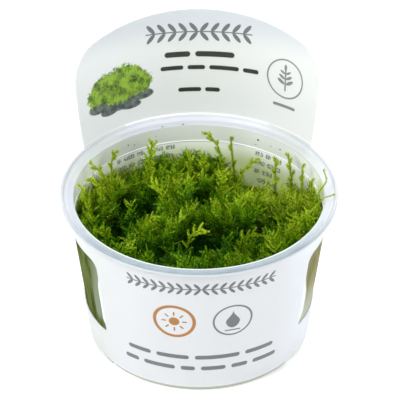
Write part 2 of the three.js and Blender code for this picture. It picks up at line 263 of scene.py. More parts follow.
@dataclass
class Studio:
    """A pale floor, a bright even room and three soft lamps."""

    floor_size: float = 6.0
    floor_drop: float = 0.2 * MM
    floor_tone: Colour = (0.97, 0.97, 0.97)
    floor_glow: float = 0.16
    floor_roughness: float = 0.9
    floor_gloss: float = 0.1
    room_tone: Colour = (0.98, 0.99, 1.0)
    room_strength: float = 0.56
    lamp_aim: float = 50 * MM

    def build(self) -> None:
        """Makes the floor, the room light and the lamps, and sets how the view is shown."""
        self._floor()
        room = bpy.data.worlds.new("room")
        room.use_nodes = True
        light = {"Color": self.room_tone, "Strength": self.room_strength}
        Graph(room.node_tree).feed(room.node_tree.nodes["Background"], light)
        self._lamp("front_left", (-0.7, -0.45, 0.95), 0.6, 10.85)
        self._lamp("front_right", (0.7, -0.5, 0.95), 0.6, 5.704)
        self._lamp("back_right", (0.35, 0.75, 0.75), 0.5, 4.5)
        scene = bpy.context.scene
        scene.world = room
        scene.view_settings.view_transform = "Standard"
        scene.cycles.use_denoising = True

    def _floor(self) -> None:
        """Makes the plain floor that the cup stands on."""
        bpy.ops.object.select_all(action="DESELECT")
        bpy.ops.mesh.primitive_plane_add(size=self.floor_size, location=(0, 0, -self.floor_drop))
        floor = bpy.context.active_object
        floor.name = "floor"
        material, graph, shader = new_material("floor_paper")
        finish = {"Base Color": self.floor_tone, "Roughness": self.floor_roughness}
        finish |= {"Emission Color": (1.0, 1.0, 1.0), "Emission Strength": self.floor_glow}
        graph.feed(shader, finish | {"Specular IOR Level": self.floor_gloss})
        floor.data.materials.append(material)

    def _lamp(self, name: str, place: tuple[float, float, float], size: float, power: float) -> None:
        """Makes one square soft lamp aimed at the moss.

        Args:
            name: The lamp's name.
            place: Where it hangs.
            size: The side of its square.
            power: Its power in watts.
        """
        data = bpy.data.lights.new(name, "AREA")
        data.shape, data.size, data.energy = "SQUARE", size, power
        lamp = bpy.data.objects.new(name, data)
        lamp.location = place
        aim = Vector((0.0, 0.0, self.lamp_aim)) - lamp.location
        lamp.rotation_euler = aim.to_track_quat("-Z", "Y").to_euler()
        bpy.context.scene.collection.objects.link(lamp)


# Modelling helpers


class Bench:
    """The steps that are taken on every piece that is modelled with Blender's operators."""

    @staticmethod
    def clear() -> None:
        """Leaves edit mode and selects nothing."""
        if bpy.context.object and bpy.context.object.mode != "OBJECT":
            bpy.ops.object.mode_set(mode="OBJECT")
        bpy.ops.object.select_all(action="DESELECT")

    @staticmethod
    def take(piece: Piece) -> None:
        """Makes a piece the only selected and active object.

        Args:
            piece: The piece to work on.
        """
        Bench.clear()
        piece.select_set(True)
        bpy.context.view_layer.objects.active = piece

    @staticmethod
    def spin_outline(name: str, outline: Outline, segments: int) -> Piece:
        """Draws an outline vertex by vertex and spins it round +Z.

        Args:
            name: The new piece's name.
            outline: Points of radius and height.
            segments: Steps in the full turn.

        Returns:
            The spun piece, with its doubles merged and its faces outward.
        """
        Bench.clear()
        (radius, height), rest = outline[0], outline[1:]
        bpy.ops.mesh.primitive_plane_add(size=MM, location=(0, 0, 0))
        piece = bpy.context.active_object
        piece.name = name
        bpy.ops.object.mode_set(mode="EDIT")
        bpy.ops.mesh.select_all(action="SELECT")
        bpy.ops.mesh.merge(type="CENTER")
        bpy.ops.transform.translate(value=(radius, 0, height))
        for next_radius, next_height in rest:
            step = (next_radius - radius, 0, next_height - height)
            bpy.ops.mesh.extrude_vertices_move(TRANSFORM_OT_translate={"value": step})
            radius, height = next_radius, next_height
        bpy.ops.mesh.select_all(action="SELECT")
        bpy.ops.mesh.spin(steps=segments, angle=2 * math.pi, center=(0, 0, 0), axis=(0, 0, 1))
        bpy.ops.mesh.select_all(action="SELECT")
        bpy.ops.mesh.remove_doubles(threshold=WELD)
        bpy.ops.mesh.normals_make_consistent(inside=False)
        bpy.ops.object.mode_set(mode="OBJECT")
        return piece

    @staticmethod
    def smooth(piece: Piece, degrees: float) -> None:
        """Shades a piece smooth, with creases where it turns more than some degrees."""
        Bench.take(piece)
        bpy.ops.object.shade_smooth_by_angle(angle=math.radians(degrees))

    @staticmethod
    def deliver(piece: Piece, slot: Slot, node: str) -> None:
        """Puts a finished piece on the object's body, hides the CAD node that it replaces and logs its
        faces.

        Args:
            piece: The finished piece.
            slot: The record's slot of its finish; not used.
            node: The CAD node that it replaces.
        """
        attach(piece, ROOT_BODY)
        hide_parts(node)
        LOG.info("%s: %d faces", piece.name, len(piece.data.polygons))


def arc(x: float, z: float, radius: float, start: float, end: float, steps: int) -> Outline:
    """Points of an arc in an outline, with its ends.

    Args:
        x: How far out its middle is.
        z: How high its middle is.
        radius: Its radius.
        start: The first angle in degrees, from outward, turning up.
        end: The last angle in degrees.
        steps: How many steps it takes.

    Returns:
        The points, from the first angle to the last.
    """
    turns = [math.radians(start + (end - start) * step / steps) for step in range(steps + 1)]
    return [(x + radius * math.cos(turn), z + radius * math.sin(turn)) for turn in turns]


def smoothstep(low: float, high: float, value: Array | float) -> Array:
    """Eases from 0 at low to 1 at high."""
    share = np.clip((np.asarray(value) - low) / (high - low), 0.0, 1.0)
    return share * share * (3 - 2 * share)


# Print on the sleeve


class Ink(Enum):
    """Colours that the sleeve is printed in."""

    GREY = (0.125, 0.137, 0.14)
    PALE = (0.2, 0.21, 0.2)
    BLACK = (0.022, 0.025, 0.018)
    ORANGE = (0.37, 0.155, 0.022)


@dataclass(frozen=True)
class Mark:
    """One printed shape, such as a bar or a ring, with its middle and size in millimetres."""

    shape: str
    ink: Ink
    centre: Pair
    size: Pair
    turn: float = 0.0


class PrintShop:
    """Builds the mask groups of the print and prints marks with them."""

    edge: float = 0.12
    ellipse_edge: Pair = (0.9, 1.08)
    drop_edge: Pair = (0.92, 1.06)

    def __init__(self) -> None:
        """Makes the group of each shape once."""
        drawers = {"bar": self._bar, "ring": self._ring, "petal": self._petal}
        drawers |= {"drop": self._drop, "garland": self._garland}
        self.groups = {shape: self._group(shape, draw) for shape, draw in drawers.items()}

    @staticmethod
    def _group(shape: str, draw: Callable[[Graph, Socket, Socket], Socket]) -> bpy.types.NodeTree:
        """Makes a mask group that measures from a mark's centre, turned by its angle.

        Args:
            shape: The shape's name.
            draw: The method that turns the offset and the size into the mask.

        Returns:
            The group.
        """
        group = bpy.data.node_groups.new(f"print_{shape}", "ShaderNodeTree")
        sockets = {"Position": "Vector", "Centre": "Vector", "Size": "Vector", "Turn": "Float"}
        for name, kind in sockets.items():
            group.interface.new_socket(name, in_out="INPUT", socket_type=f"NodeSocket{kind}")
        group.interface.new_socket("Mask", in_out="OUTPUT", socket_type="NodeSocketFloat")
        graph = Graph(group)
        given = group.nodes.new("NodeGroupInput").outputs
        turning = {"Vector": given["Position"], "Center": given["Centre"], "Angle": given["Turn"]}
        turned = graph.node("VectorRotate", turning, rotation_type="Z_AXIS").outputs["Vector"]
        offset = graph.vector("SUBTRACT", turned, given["Centre"])
        graph.feed(group.nodes.new("NodeGroupOutput"), {"Mask": draw(graph, offset, given["Size"])})
        return group

    def _bar(self, graph: Graph, offset: Socket, size: Socket) -> Socket:
        """Masks a bar with round ends.

        Args:
            graph: The group's graph.
            offset: The offset from the bar's middle.
            size: Half its length and half its height.

        Returns:
            The mask.
        """
        length, thick, _ = graph.split(size)
        along, up, _ = graph.split(graph.vector("ABSOLUTE", offset))
        past = graph.math("SUBTRACT", along, graph.math("SUBTRACT", length, thick))
        away = graph.math("SUBTRACT", graph.length(graph.math("MAXIMUM", past, 0.0), up), thick)
        return graph.fade(away, -self.edge, self.edge, 1.0, 0.0)

    def _ring(self, graph: Graph, offset: Socket, size: Socket) -> Socket:
        """Masks a ring; its size is its radius and half its line's width."""
        radius, line, _ = graph.split(size)
        away = graph.math("ABSOLUTE", graph.math("SUBTRACT", graph.vector("LENGTH", offset), radius))
        return graph.fade(graph.math("SUBTRACT", away, line), -self.edge, self.edge, 1.0, 0.0)

    def _petal(self, graph: Graph, offset: Socket, size: Socket) -> Socket:
        """Masks a petal, an ellipse; its size is half its length and half its width."""
        flat = graph.vector("MULTIPLY", graph.vector("DIVIDE", offset, size), (1.0, 1.0, 0.0))
        return graph.fade(graph.vector("LENGTH", flat), *self.ellipse_edge, 1.0, 0.0)

    def _drop(self, graph: Graph, offset: Socket, size: Socket) -> Socket:
        """Masks a drop, pointed at its top; its size is half its width and half its height."""
        across, up, _ = graph.split(graph.vector("DIVIDE", offset, size))
        wide = graph.math("DIVIDE", across, graph.fade(up, -0.35, 1.0, 1.0, 0.12))
        return graph.fade(graph.length(wide, up), *self.drop_edge, 1.0, 0.0)

    def _garland(self, graph: Graph, offset: Socket, size: Socket) -> Socket:
        """Masks pairs of leaves on a stem.

        Args:
            graph: The group's graph.
            offset: The offset from the stem's middle.
            size: Half its span and a leaf's length.

        Returns:
            The mask.
        """
        span, leaf, _ = graph.split(size)
        along, up, _ = graph.split(graph.vector("ABSOLUTE", offset))
        pitch = graph.times(leaf, 0.86)
        cell = graph.math("FLOORED_MODULO", along, pitch)
        across = graph.math("SUBTRACT", cell, graph.times(pitch, 0.5))
        level = graph.math("SUBTRACT", up, graph.times(leaf, 0.4))
        long_way = graph.math("ADD", graph.times(across, 0.64), graph.times(level, 0.77))
        wide_way = graph.math("SUBTRACT", graph.times(level, 0.64), graph.times(across, 0.77))
        long_way = graph.math("DIVIDE", long_way, graph.times(leaf, 0.5))
        wide_way = graph.math("DIVIDE", wide_way, graph.times(leaf, 0.17))
        leaves = graph.fade(graph.length(long_way, wide_way), *self.ellipse_edge, 1.0, 0.0)
        drawn = graph.math("MAXIMUM", leaves, graph.fade(up, 0.14, 0.34, 1.0, 0.0))
        whole_cells = graph.math("FLOOR", graph.math("DIVIDE", span, pitch))
        return graph.times(drawn, graph.math("LESS_THAN", along, graph.times(whole_cells, pitch)))

    def mask(self, graph: Graph, place: Socket, marks: Sequence[Mark]) -> Socket:
        """Places marks in a material and joins their masks into one.

        Args:
            graph: The material's graph.
            place: The position on the sheet, in millimetres.
            marks: The marks.

        Returns:
            The mask.
        """
        joined = None
        for mark in marks:
            inputs = {"Position": place, "Centre": (*mark.centre, 0.0), "Size": (*mark.size, 1.0)}
            inputs["Turn"] = math.radians(mark.turn)
            own = graph.node("Group", inputs, node_tree=self.groups[mark.shape]).outputs["Mask"]
            joined = own if joined is None else graph.math("MAXIMUM", joined, own)
        return joined

    def printed(self, graph: Graph, place: Socket, base: Source, marks: Sequence[Mark]) -> Source:
        """Prints marks over a colour, ink by ink.

        Args:
            graph: The material's graph.
            place: The position on the sheet, in millimetres.
            base: The colour under the print.
            marks: The marks.

        Returns:
            The printed colour.
        """
        for ink in Ink:
            chosen = [mark for mark in marks if mark.ink is ink]
            if chosen:
                base = graph.mix(self.mask(graph, place, chosen), base, ink.value)
        return base


def words(
    ink: Ink, middle: float, height: float, thick: float, lengths: Sequence[float], gap: float
) -> list[Mark]:
    """Lays a line of plain bars about its middle, as text is greeked in a layout.

    Args:
        ink: Their colour.
        middle: Where the line's middle is.
        height: The height of the line.
        thick: Half a bar's height.
        lengths: The bars' lengths.
        gap: The space between bars.

    Returns:
        The bars.
    """
    left = middle - (sum(lengths) + gap * (len(lengths) - 1)) / 2
    marks = []
    for length in lengths:
        marks.append(Mark("bar", ink, (left + length / 2, height), (length / 2, thick)))
        left += length + gap
    return marks


def sun_marks(ink: Ink, middle: Pair, radius: float) -> list[Mark]:
    """Draws a sun, which is a disc and eight rays.

    Args:
        ink: Its colour.
        middle: Its middle.
        radius: The reach of its rays.

    Returns:
        The marks.
    """
    marks = [Mark("petal", ink, middle, (radius * 0.42, radius * 0.42))]
    for ray in range(8):
        turn = math.radians(45 * ray)
        centre = (middle[0] + radius * 0.8 * math.cos(turn), middle[1] + radius * 0.8 * math.sin(turn))
        marks.append(Mark("bar", ink, centre, (radius * 0.2, radius * 0.07), -45 * ray))
    return marks


def sprig_marks(ink: Ink, foot: Pair, height: float) -> list[Mark]:
    """Draws a sprig, which is a stem with three pairs of leaves and one at the top.

    Args:
        ink: Its colour.
        foot: Where its stem starts.
        height: The stem's length.

    Returns:
        The marks.
    """
    x, y = foot
    marks = [Mark("bar", ink, (x, y + height / 2), (height / 2, height * 0.035), 90)]
    for pair in range(3):
        level = y + height * (0.28 + 0.22 * pair)
        reach = height * (0.24 - 0.04 * pair)
        for hand in (-1, 1):
            centre = (x + hand * reach * 0.8, level + reach * 0.45)
            marks.append(Mark("petal", ink, centre, (reach * 0.78, reach * 0.3), -hand * 32))
    return marks + [Mark("petal", ink, (x, y + height), (height * 0.14, height * 0.06), 90)]


@dataclass(frozen=True)
class SleeveFilm:
    """White printed plastic sheet, satin, with the front print outside and the header's inside, and painted
    light and shade across the front, the header and the inside of the band.
    """

    front_white: Colour = (0.63, 0.65, 0.67)
    # The next four are painted light and shade: the tones of the label's front towards its sides, and where
    # they ease in.
    front_left: Colour = (0.575, 0.605, 0.598)
    front_right: Colour = (0.675, 0.725, 0.81)
    front_left_shading_ends: Pair = (-40 * MM, -26 * MM)
    front_right_shading_ends: Pair = (26 * MM, 42 * MM)
    # Painted light: the inside of the band, in the narrow gap behind the cup's wall, is much lighter than
    # the header.
    band_lit_white: Colour = (0.88, 0.89, 0.87)
    # The header's side and top tones are painted light and shade, with a painted shade towards its top.
    header_left_shading: Colour = (0.675, 0.705, 0.705)
    header_white: Colour = (0.605, 0.63, 0.61)
    header_right_shading: Colour = (0.66, 0.68, 0.665)
    header_top: Colour = (0.505, 0.535, 0.56)
    header_side: float = 45 * MM
    header_foot_ends: Pair = (59 * MM, 61 * MM)
    header_top_shade_ends: Pair = (86 * MM, 100 * MM)
    roughness: Pattern = Pattern(60.0, 3.0, 0.3, 0.7, 0.31, 0.43)
    glow: float = 0.7
    glow_depth: float = 1.5 * MM
    grain: Pattern = Pattern(0.45, 4.0, 0.35, 0.65)
    clumps: Pattern = Pattern(0.32, 2.0, 0.36, 0.64, 0.0, 0.75)
    strands: Pattern = Pattern(1.7, 4.0, 0.35, 0.7, 0.0, 0.6)
    ragged: float = 4.5
    foliage_dark: Colour = (0.012, 0.05, 0.006)
    foliage_light: Colour = (0.26, 0.42, 0.03)
    pebble_dark: Colour = (0.05, 0.06, 0.055)
    pebble_light: Colour = (0.15, 0.18, 0.165)

    @staticmethod
    def front_marks() -> list[Mark]:
        """Marks on the front of the sleeve; across is along the sheet from its middle."""
        marks = [Mark("garland", Ink.GREY, (0.0, 50.0), (29.0, 3.4))]
        marks += [Mark("ring", Ink.ORANGE, (-9.6, 33.9), (7.1, 0.62))]
        marks += sun_marks(Ink.ORANGE, (-9.6, 33.9), 4.6)
        marks += [Mark("ring", Ink.GREY, (11.2, 33.9), (6.9, 0.36))]
        marks += [Mark("drop", Ink.GREY, (11.2, 34.3), (2.7, 4.0))]
        marks += [Mark("bar", Ink.GREY, (11.2, 29.2), (2.9, 0.3))]
        marks += words(Ink.GREY, 0.0, 16.6, 0.95, (9.5, 12.5, 17.0, 12.0), 2.2)
        return marks + words(Ink.GREY, 0.0, 11.2, 0.95, (6.0, 12.5, 5.5, 9.5, 6.5, 10.5), 2.2)

    @staticmethod
    def header_marks() -> list[Mark]:
        """Marks on the header; across is along the sheet from its middle, to the right."""
        marks = [Mark("garland", Ink.GREY, (1.0, 93.2), (20.5, 4.6))]
        marks += words(Ink.BLACK, 1.2, 84.2, 1.1, (9.5, 14.5), 1.8)
        marks += words(Ink.BLACK, 5.0, 78.8, 0.85, (8.5, 6.5, 11.0, 6.0), 1.5)
        marks += words(Ink.BLACK, 1.0, 69.8, 0.85, (8.5, 5.5), 1.4)
        marks += [Mark("ring", Ink.PALE, (34.0, 79.0), (7.2, 0.3))]
        marks += sprig_marks(Ink.PALE, (34.0, 74.2), 9.0)
        return marks + words(Ink.PALE, 34.0, 68.6, 0.55, (9.5,), 1.0)

    @staticmethod
    def foliage_marks() -> list[Mark]:
        """Where the printed tuft of leaves lies on the header."""
        spots = ((-34.6, 76.6, 7.0, 5.2), (-27.0, 77.4, 7.8, 6.0), (-21.6, 75.4, 5.2, 4.4))
        spots += ((-39.6, 74.4, 4.2, 3.6), (-30.0, 73.2, 9.0, 4.0))
        return [Mark("petal", Ink.GREY, spot[:2], spot[2:]) for spot in spots]

    @staticmethod
    def pebble_marks() -> list[Mark]:
        """Where the printed pebbles lie under the tuft."""
        spots = ((-38.0, 70.2, 5.4, 2.3), (-29.4, 68.8, 5.8, 2.5), (-21.2, 70.4, 5.2, 2.2))
        spots += ((-34.0, 67.4, 4.0, 1.7), (-25.0, 67.2, 4.2, 1.6))
        return [Mark("petal", Ink.BLACK, spot[:2], spot[2:]) for spot in spots]

    @staticmethod
    def back_marks() -> list[Mark]:
        """Small print on the sleeve's back, which shows through the wall inside the cup."""
        marks = []
        left = ((2.6, 5.6, 3.8, 7.4, 4.2), (4.4, 3.2, 6.6, 3.4, 5.0), (3.4, 7.2, 2.6, 5.6, 3.0))
        for line, lengths in enumerate(left + ((5.0, 3.0, 8.4), (2.8, 6.4))):
            marks += words(Ink.GREY, -22.4, 49.2 - 3.4 * line, 0.86, lengths, 0.9)
        right = ((4.0, 3.0, 4.6), (5.0, 3.6, 2.8), (2.8, 5.4, 3.2), (4.4, 4.4), (5.0, 3.2))
        for line, lengths in enumerate(right):
            marks += words(Ink.GREY, 31.5, 49.2 - 3.5 * line, 0.92, lengths, 0.9)
        return marks

    def _picture(self, shop: PrintShop, graph: Graph, place: Socket, colour: Source) -> Socket:
        """Draws a tuft of leaves on pebbles over the header's colour.

        Args:
            shop: The mask groups.
            graph: The material's graph.
            place: The position on the sheet, in millimetres.
            colour: The header's colour.

        Returns:
            The colour with the picture on it.
        """
        stone = graph.mix(graph.blotches(place, self.grain), self.pebble_dark, self.pebble_light)
        colour = graph.mix(shop.mask(graph, place, self.pebble_marks()), colour, stone)
        shift = graph.vector("SUBTRACT", graph.noise(place, 0.9, 5.0, "Color"), (0.5, 0.5, 0.5))
        ragged = graph.vector("ADD", place, graph.vector("MULTIPLY", shift, (self.ragged, self.ragged, 0.0)))
        upright = graph.vector("MULTIPLY", ragged, (1.0, 0.45, 1.0))
        tone = graph.math("ADD", graph.blotches(ragged, self.clumps), graph.blotches(upright, self.strands))
        leaves = graph.mix(tone, self.foliage_dark, self.foliage_light)
        return graph.mix(shop.mask(graph, ragged, self.foliage_marks()), colour, leaves)

    def material(self, shop: PrintShop, face: SheetFace) -> Material:
        """Makes the sheet's material for one of its faces.

        Args:
            shop: The mask groups.
            face: The face that the material is for.

        Returns:
            The material.
        """
        material, graph, shader = new_material(f"sleeve_{face.name.lower()}")
        front, back = (graph.node("UVMap", uv_map=name).outputs[0] for name in ("front_mm", "back_mm"))
        place = graph.place()
        across, _, height = graph.split(place)
        if face is SheetFace.OUTSIDE:
            # Painted light and shade: the label's front is toned differently towards its left and right
            # sides.
            left = graph.fade(across, *self.front_left_shading_ends, 1.0, 0.0)
            colour = graph.mix(left, self.front_white, self.front_left)
            colour = graph.mix(graph.fade(across, *self.front_right_shading_ends), colour, self.front_right)
            colour = shop.printed(graph, front, colour, self.front_marks())
            colour = shop.printed(graph, back, colour, self.back_marks())
        else:
            # Painted light and shade across the header, with a painted shade towards its top.
            left = graph.fade(across, -self.header_side, 0.0, 1.0, 0.0)
            colour = graph.mix(left, self.header_white, self.header_left_shading)
            colour = graph.mix(graph.fade(across, 0.0, self.header_side), colour, self.header_right_shading)
            colour = graph.mix(graph.fade(height, *self.header_top_shade_ends), colour, self.header_top)
            # Painted light: the inside of the band below the rim is much lighter than the header.
            colour = graph.mix(graph.fade(height, *self.header_foot_ends), self.band_lit_white, colour)
            colour = shop.printed(graph, back, colour, self.header_marks())
            colour = self._picture(shop, graph, back, colour)
        finish = {"Base Color": colour, "Roughness": graph.blotches(place, self.roughness)}
        finish |= {"Subsurface Weight": self.glow, "Subsurface Scale": self.glow_depth}
        graph.feed(shader, finish | {"Subsurface Radius": (1.0, 1.0, 1.0)})
        return material


# Cup


@dataclass(frozen=True)
class CupPlastic:
    """The cup's thin clear wall: hazy, greener low down, with the sleeve's small print behind it, a painted
    shade across the back and a painted glow near the sides at the top.
    """

    top: Colour = (0.95, 0.99, 0.925)
    # Painted shade: the wall is darker across the middle of the back than at its sides.
    shaded: Colour = (0.84, 0.885, 0.815)
    low: Colour = (0.54, 0.63, 0.31)
    foot: Colour = (0.41, 0.44, 0.36)
    # Painted glow: an emission on the upper wall near the sides, standing in for light that comes through
    # the plastic.
    through: Colour = (0.13, 0.145, 0.125)
    print_tone: Colour = (0.09, 0.1, 0.085)
    print_strength: float = 0.8
    green_heights: Pair = (43 * MM, 52 * MM)
    foot_heights: Pair = (2.5 * MM, 5 * MM)
    shade_start: Pair = (-40 * MM, -28 * MM)
    shade_end: Pair = (12 * MM, 24 * MM)
    painted_glow_heights: Pair = (49 * MM, 52 * MM)
    painted_glow_sides: Pair = (29 * MM, 44 * MM)
    cloud: Pattern = Pattern(45.0, 2.0, 0.3, 0.75, -0.1, 0.1)
    worn: Pattern = Pattern(1.3, 1.0, 0.4, 0.52, 0.2, 1.0)
    roughness: Pattern = Pattern(70.0, 2.0, 0.3, 0.7, 0.12, 0.2)
    letter_pitch: float = 0.5
    letter_edge: Pair = (0.06, 0.14)
    letter_gap: float = 0.3
    clearness: float = 0.04
    index: float = 1.49

    def material(self, shop: PrintShop, marks: Sequence[Mark], wrap: float) -> Material:
        """Makes the plastic's material.

        Args:
            shop: The print's mask groups.
            marks: The print that shows through the wall at the back.
            wrap: The radius at which the printed sheet is wrapped round the cup.

        Returns:
            The material.
        """
        material, graph, shader = new_material("cup_clear_wall")
        place = graph.place()
        across, deep, height = graph.split(place)
        green = graph.fade(height, *self.green_heights, 1.0, 0.0)
        tint = graph.math("ADD", green, graph.blotches(place, self.cloud))
        # Painted shade: the wall is darker across the middle of the back, easing out towards the sides.
        shade = graph.inside(across, self.shade_start, self.shade_end)
        colour = graph.mix(tint, graph.mix(shade, self.top, self.shaded), self.low)
        colour = graph.mix(graph.fade(height, *self.foot_heights, 1.0, 0.0), colour, self.foot)
        around = graph.times(graph.math("ARCTAN2", across, deep), wrap / MM)
        paper = graph.join(around, graph.times(height, 1 / MM))
        stripes = graph.math("PINGPONG", around, self.letter_pitch)
        letters = graph.fade(stripes, *self.letter_edge, self.letter_gap, 1.0)
        letters = graph.times(letters, graph.blotches(paper, self.worn))
        ink = graph.times(shop.mask(graph, paper, marks), letters, self.print_strength)
        # Painted glow: the upper wall near the sides emits a little light, standing in for light that comes
        # through the plastic.
        aside = graph.math("ABSOLUTE", across)
        lit = graph.times(graph.fade(height, *self.painted_glow_heights), graph.fade(aside, *self.painted_glow_sides))
        finish = {"Base Color": graph.mix(ink, colour, self.print_tone)}
        finish |= {"Emission Color": graph.mix(lit, (0.0, 0.0, 0.0), self.through), "Emission Strength": 1.0}
        finish |= {"Roughness": graph.blotches(place, self.roughness)}
        graph.feed(shader, finish | {"IOR": self.index, "Transmission Weight": self.clearness})
        return material


@dataclass(frozen=True)
class MilkyRim:
    """The rim's thicker plastic: milky, with painted light and shade: paler to the right, a blue-grey band
    of painted shade in front, a painted highlight on the inner edge, a lightened channel and a darker lip at
    the sides.
    """

    # Painted light and shade: the rim is painted paler towards the right.
    left: Colour = (0.515, 0.545, 0.59)
    right: Colour = (0.565, 0.585, 0.62)
    behind: Colour = (0.56, 0.6, 0.575)
    # Painted shade and light in front: a darker blue-grey over the front, a lighter outer face on the lip
    # and a streaked blue-grey band along the lip's top.
    front: Colour = (0.33, 0.375, 0.41)
    # Painted highlight along the inner edge of the opening, in front.
    edge: Colour = (0.68, 0.78, 0.76)
    band: Colour = (0.245, 0.3, 0.33)
    foot: Colour = (0.46, 0.5, 0.53)
    # Painted light: the channel between the opening and the lip is lightened against the shade that falls in
    # it.
    channel: Colour = (0.74, 0.765, 0.8)
    # Painted shade: the lip is darker at the sides, against the bright light on it.
    lip: Colour = (0.5, 0.52, 0.55)
    glow: float = 0.8
    glow_depth: float = 3 * MM
    edge_highlight_ends: Pair = (0.75 * MM, 1.05 * MM)
    channel_rise: Pair = (-0.4 * MM, 0.2 * MM)
    channel_fall: Pair = (0.8 * MM, 1.1 * MM)
    channel_light_strength: float = 0.5
    lip_ends: Pair = (-1.4 * MM, -1.1 * MM)
    band_shade_ends: Pair = (-1.2 * MM, -0.9 * MM)
    haze: Pattern = Pattern(45.0, 2.0, 0.3, 0.75, -0.08, 0.08)
    streak: Pattern = Pattern(160.0, 1.0, 0.35, 0.65, 0.8, 1.0)
    roughness: Pattern = Pattern(70.0, 2.0, 0.3, 0.7, 0.42, 0.5)
    header_start: Pair = (27.7 * MM, 28.3 * MM)
    header_end: Pair = (45 * MM, 47 * MM)
    header_depth: float = 12 * MM
    header_strength: float = 0.8
    front_shade_ends: Pair = (-0.85, -0.1)
    side_ends: Pair = (0.5, 0.8)

    def material(self, cup: "Cup") -> Material:
        """Makes the rim's material.

        Args:
            cup: The cup that the rim is on.

        Returns:
            The material.
        """
        material, graph, shader = new_material("cup_milky_rim")
        reach = cup.rim_radius
        place = graph.place()
        across, deep, height = graph.split(place)
        side = graph.math("ADD", graph.fade(across, -reach, reach), graph.blotches(place, self.haze))
        aside = graph.math("ABSOLUTE", across)
        over = graph.inside(aside, self.header_start, self.header_end)
        over = graph.times(over, graph.fade(deep, 0.0, self.header_depth, 0.0, self.header_strength))
        out = graph.vector("LENGTH", graph.vector("MULTIPLY", place, (1.0, 1.0, 0.0)))
        near = graph.fade(deep, *(end * reach for end in self.front_shade_ends), 1.0, 0.0)
        # Painted light: the channel is lightened against the shade that falls in it.
        channel_light = graph.times(
            graph.fade_past(out, cup.channel_radius, self.channel_rise),
            graph.fade_past(out, cup.channel_radius, self.channel_fall, self.channel_light_strength, 0.0),
        )
        # Painted highlight along the inner edge of the opening, in front.
        edge_highlight = graph.fade_past(out, cup.opening_radius, self.edge_highlight_ends, 1.0, 0.0)
        on_lip = graph.fade_past(out, reach, self.lip_ends)
        # Painted shade: the lip is darker at the sides, against the bright light on it.
        at_side = graph.fade(aside, *(end * reach for end in self.side_ends))
        # Painted shade and light in front: a blue-grey shade, a lighter lip face and a streaked blue-grey
        # band on the lip's top.
        on_front = graph.times(on_lip, near)
        top = graph.fade_past(height, cup.rim_height, self.band_shade_ends)
        streak = graph.blotches(place, self.streak)
        # Painted light and shade: paler towards the right, with random haze.
        colour = graph.mix(side, self.left, self.right)
        layers = ((over, self.behind), (channel_light, self.channel), (near, self.front))
        layers += ((graph.times(near, edge_highlight), self.edge), (graph.times(on_lip, at_side), self.lip))
        layers += ((on_front, self.foot), (graph.times(on_front, top, streak), self.band))
        for share, paint in layers:
            colour = graph.mix(share, colour, paint)
        finish = {"Base Color": colour}
        finish |= {"Subsurface Weight": self.glow, "Subsurface Scale": self.glow_depth}
        finish |= {"Roughness": graph.blotches(place, self.roughness)}
        graph.feed(shader, finish | {"Subsurface Radius": (1.0, 1.0, 1.0)})
        return material


@dataclass(frozen=True)
class Glare:
    """The bright strip along a window's front edge, in degrees, which swells between two heights."""

    start: float
    swell: float
    soft: float
    rise: Pair
    fall: Pair

    def mask(self, graph: Graph, bearing: Socket, height: Socket) -> Socket:
        """Masks the strip on the wall.

        Args:
            graph: The wall's graph.
            bearing: The bearing on the wall, in radians.
            height: The height on the wall.

        Returns:
            The mask.
        """
        swell = graph.times(graph.inside(height, self.rise, self.fall), math.radians(self.swell))
        end = graph.math("ADD", swell, math.radians(self.start))
        return graph.soft_end(bearing, end, math.radians(self.soft))


@dataclass(frozen=True)
class MossyWall:
    """The wall where wet moss is pressed against it: olive on the left, paler and dry on the right."""

    dark: Colour = (0.043, 0.056, 0.009)
    light: Colour = (0.13, 0.16, 0.054)
    # Painted reflection: the lighter grey-green strip along the left window's front edge.
    clear: Colour = (0.205, 0.245, 0.17)
    brown: Colour = (0.175, 0.168, 0.07)
    straw: Colour = (0.3, 0.288, 0.155)
    glare: Colour = (0.8, 0.82, 0.84)
    pale: Colour = (0.45, 0.465, 0.38)
    roughness: float = 0.5
    streaks: tuple[float, float, float] = (260.0, 260.0, 40.0)
    cloud: Pattern = Pattern(1.0, 3.0, 0.32, 0.68)
    reflection_bearings: Pair = (63.0, 61.5)
    reflection_softness: Pair = (1.4, 6.0)
    strip_foot: Pair = (17.5 * MM, 22 * MM)
    reflection_top: Pair = (25 * MM, 46 * MM)
    pale_top: float = 33.25 * MM
    middle: Pair = (-1 * MM, 1 * MM)
    left_glare: Glare = Glare(53.3, 3.2, 0.6, (15.5 * MM, 21 * MM), (33 * MM, 48 * MM))
    right_glare: Glare = Glare(59.0, 4.0, 1.6, (14.5 * MM, 21.5 * MM), (27 * MM, 40 * MM))

    def material(self) -> Material:
        """Makes the wall's material, clouded in upright streaks, with a lighter strip of painted reflection
        along the left window's front edge.

        Returns:
            The material.
        """
        material, graph, shader = new_material("cup_mossy_wall")
        place = graph.place()
        across, deep, height = graph.split(place)
        cloud = graph.blotches(graph.vector("MULTIPLY", place, self.streaks), self.cloud)
        bearing = graph.math("ARCTAN2", graph.math("ABSOLUTE", across), graph.times(deep, -1.0))
        # Painted reflection: a lighter strip along the left window's front edge, above the sill.
        end = graph.fade(height, *self.reflection_top, *map(math.radians, self.reflection_bearings))
        soft = graph.fade(height, *self.reflection_top, *map(math.radians, self.reflection_softness))
        strip = graph.times(graph.soft_end(bearing, end, soft), graph.fade(height, *self.strip_foot))
        wet = graph.mix(strip, graph.mix(cloud, self.dark, self.light), self.clear)
        wet = graph.mix(self.left_glare.mask(graph, bearing, height), wet, self.glare)
        low = graph.fade(height, self.strip_foot[0], self.pale_top, 1.0, 0.0)
        dry = graph.mix(low, graph.mix(cloud, self.brown, self.straw), self.pale)
        dry = graph.mix(self.right_glare.mask(graph, bearing, height), dry, self.glare)
        colour = graph.mix(graph.fade(across, *self.middle), wet, dry)
        finish = {"Base Color": colour, "Roughness": self.roughness, "Specular IOR Level": 0.0}
        graph.feed(shader, finish)
        return material


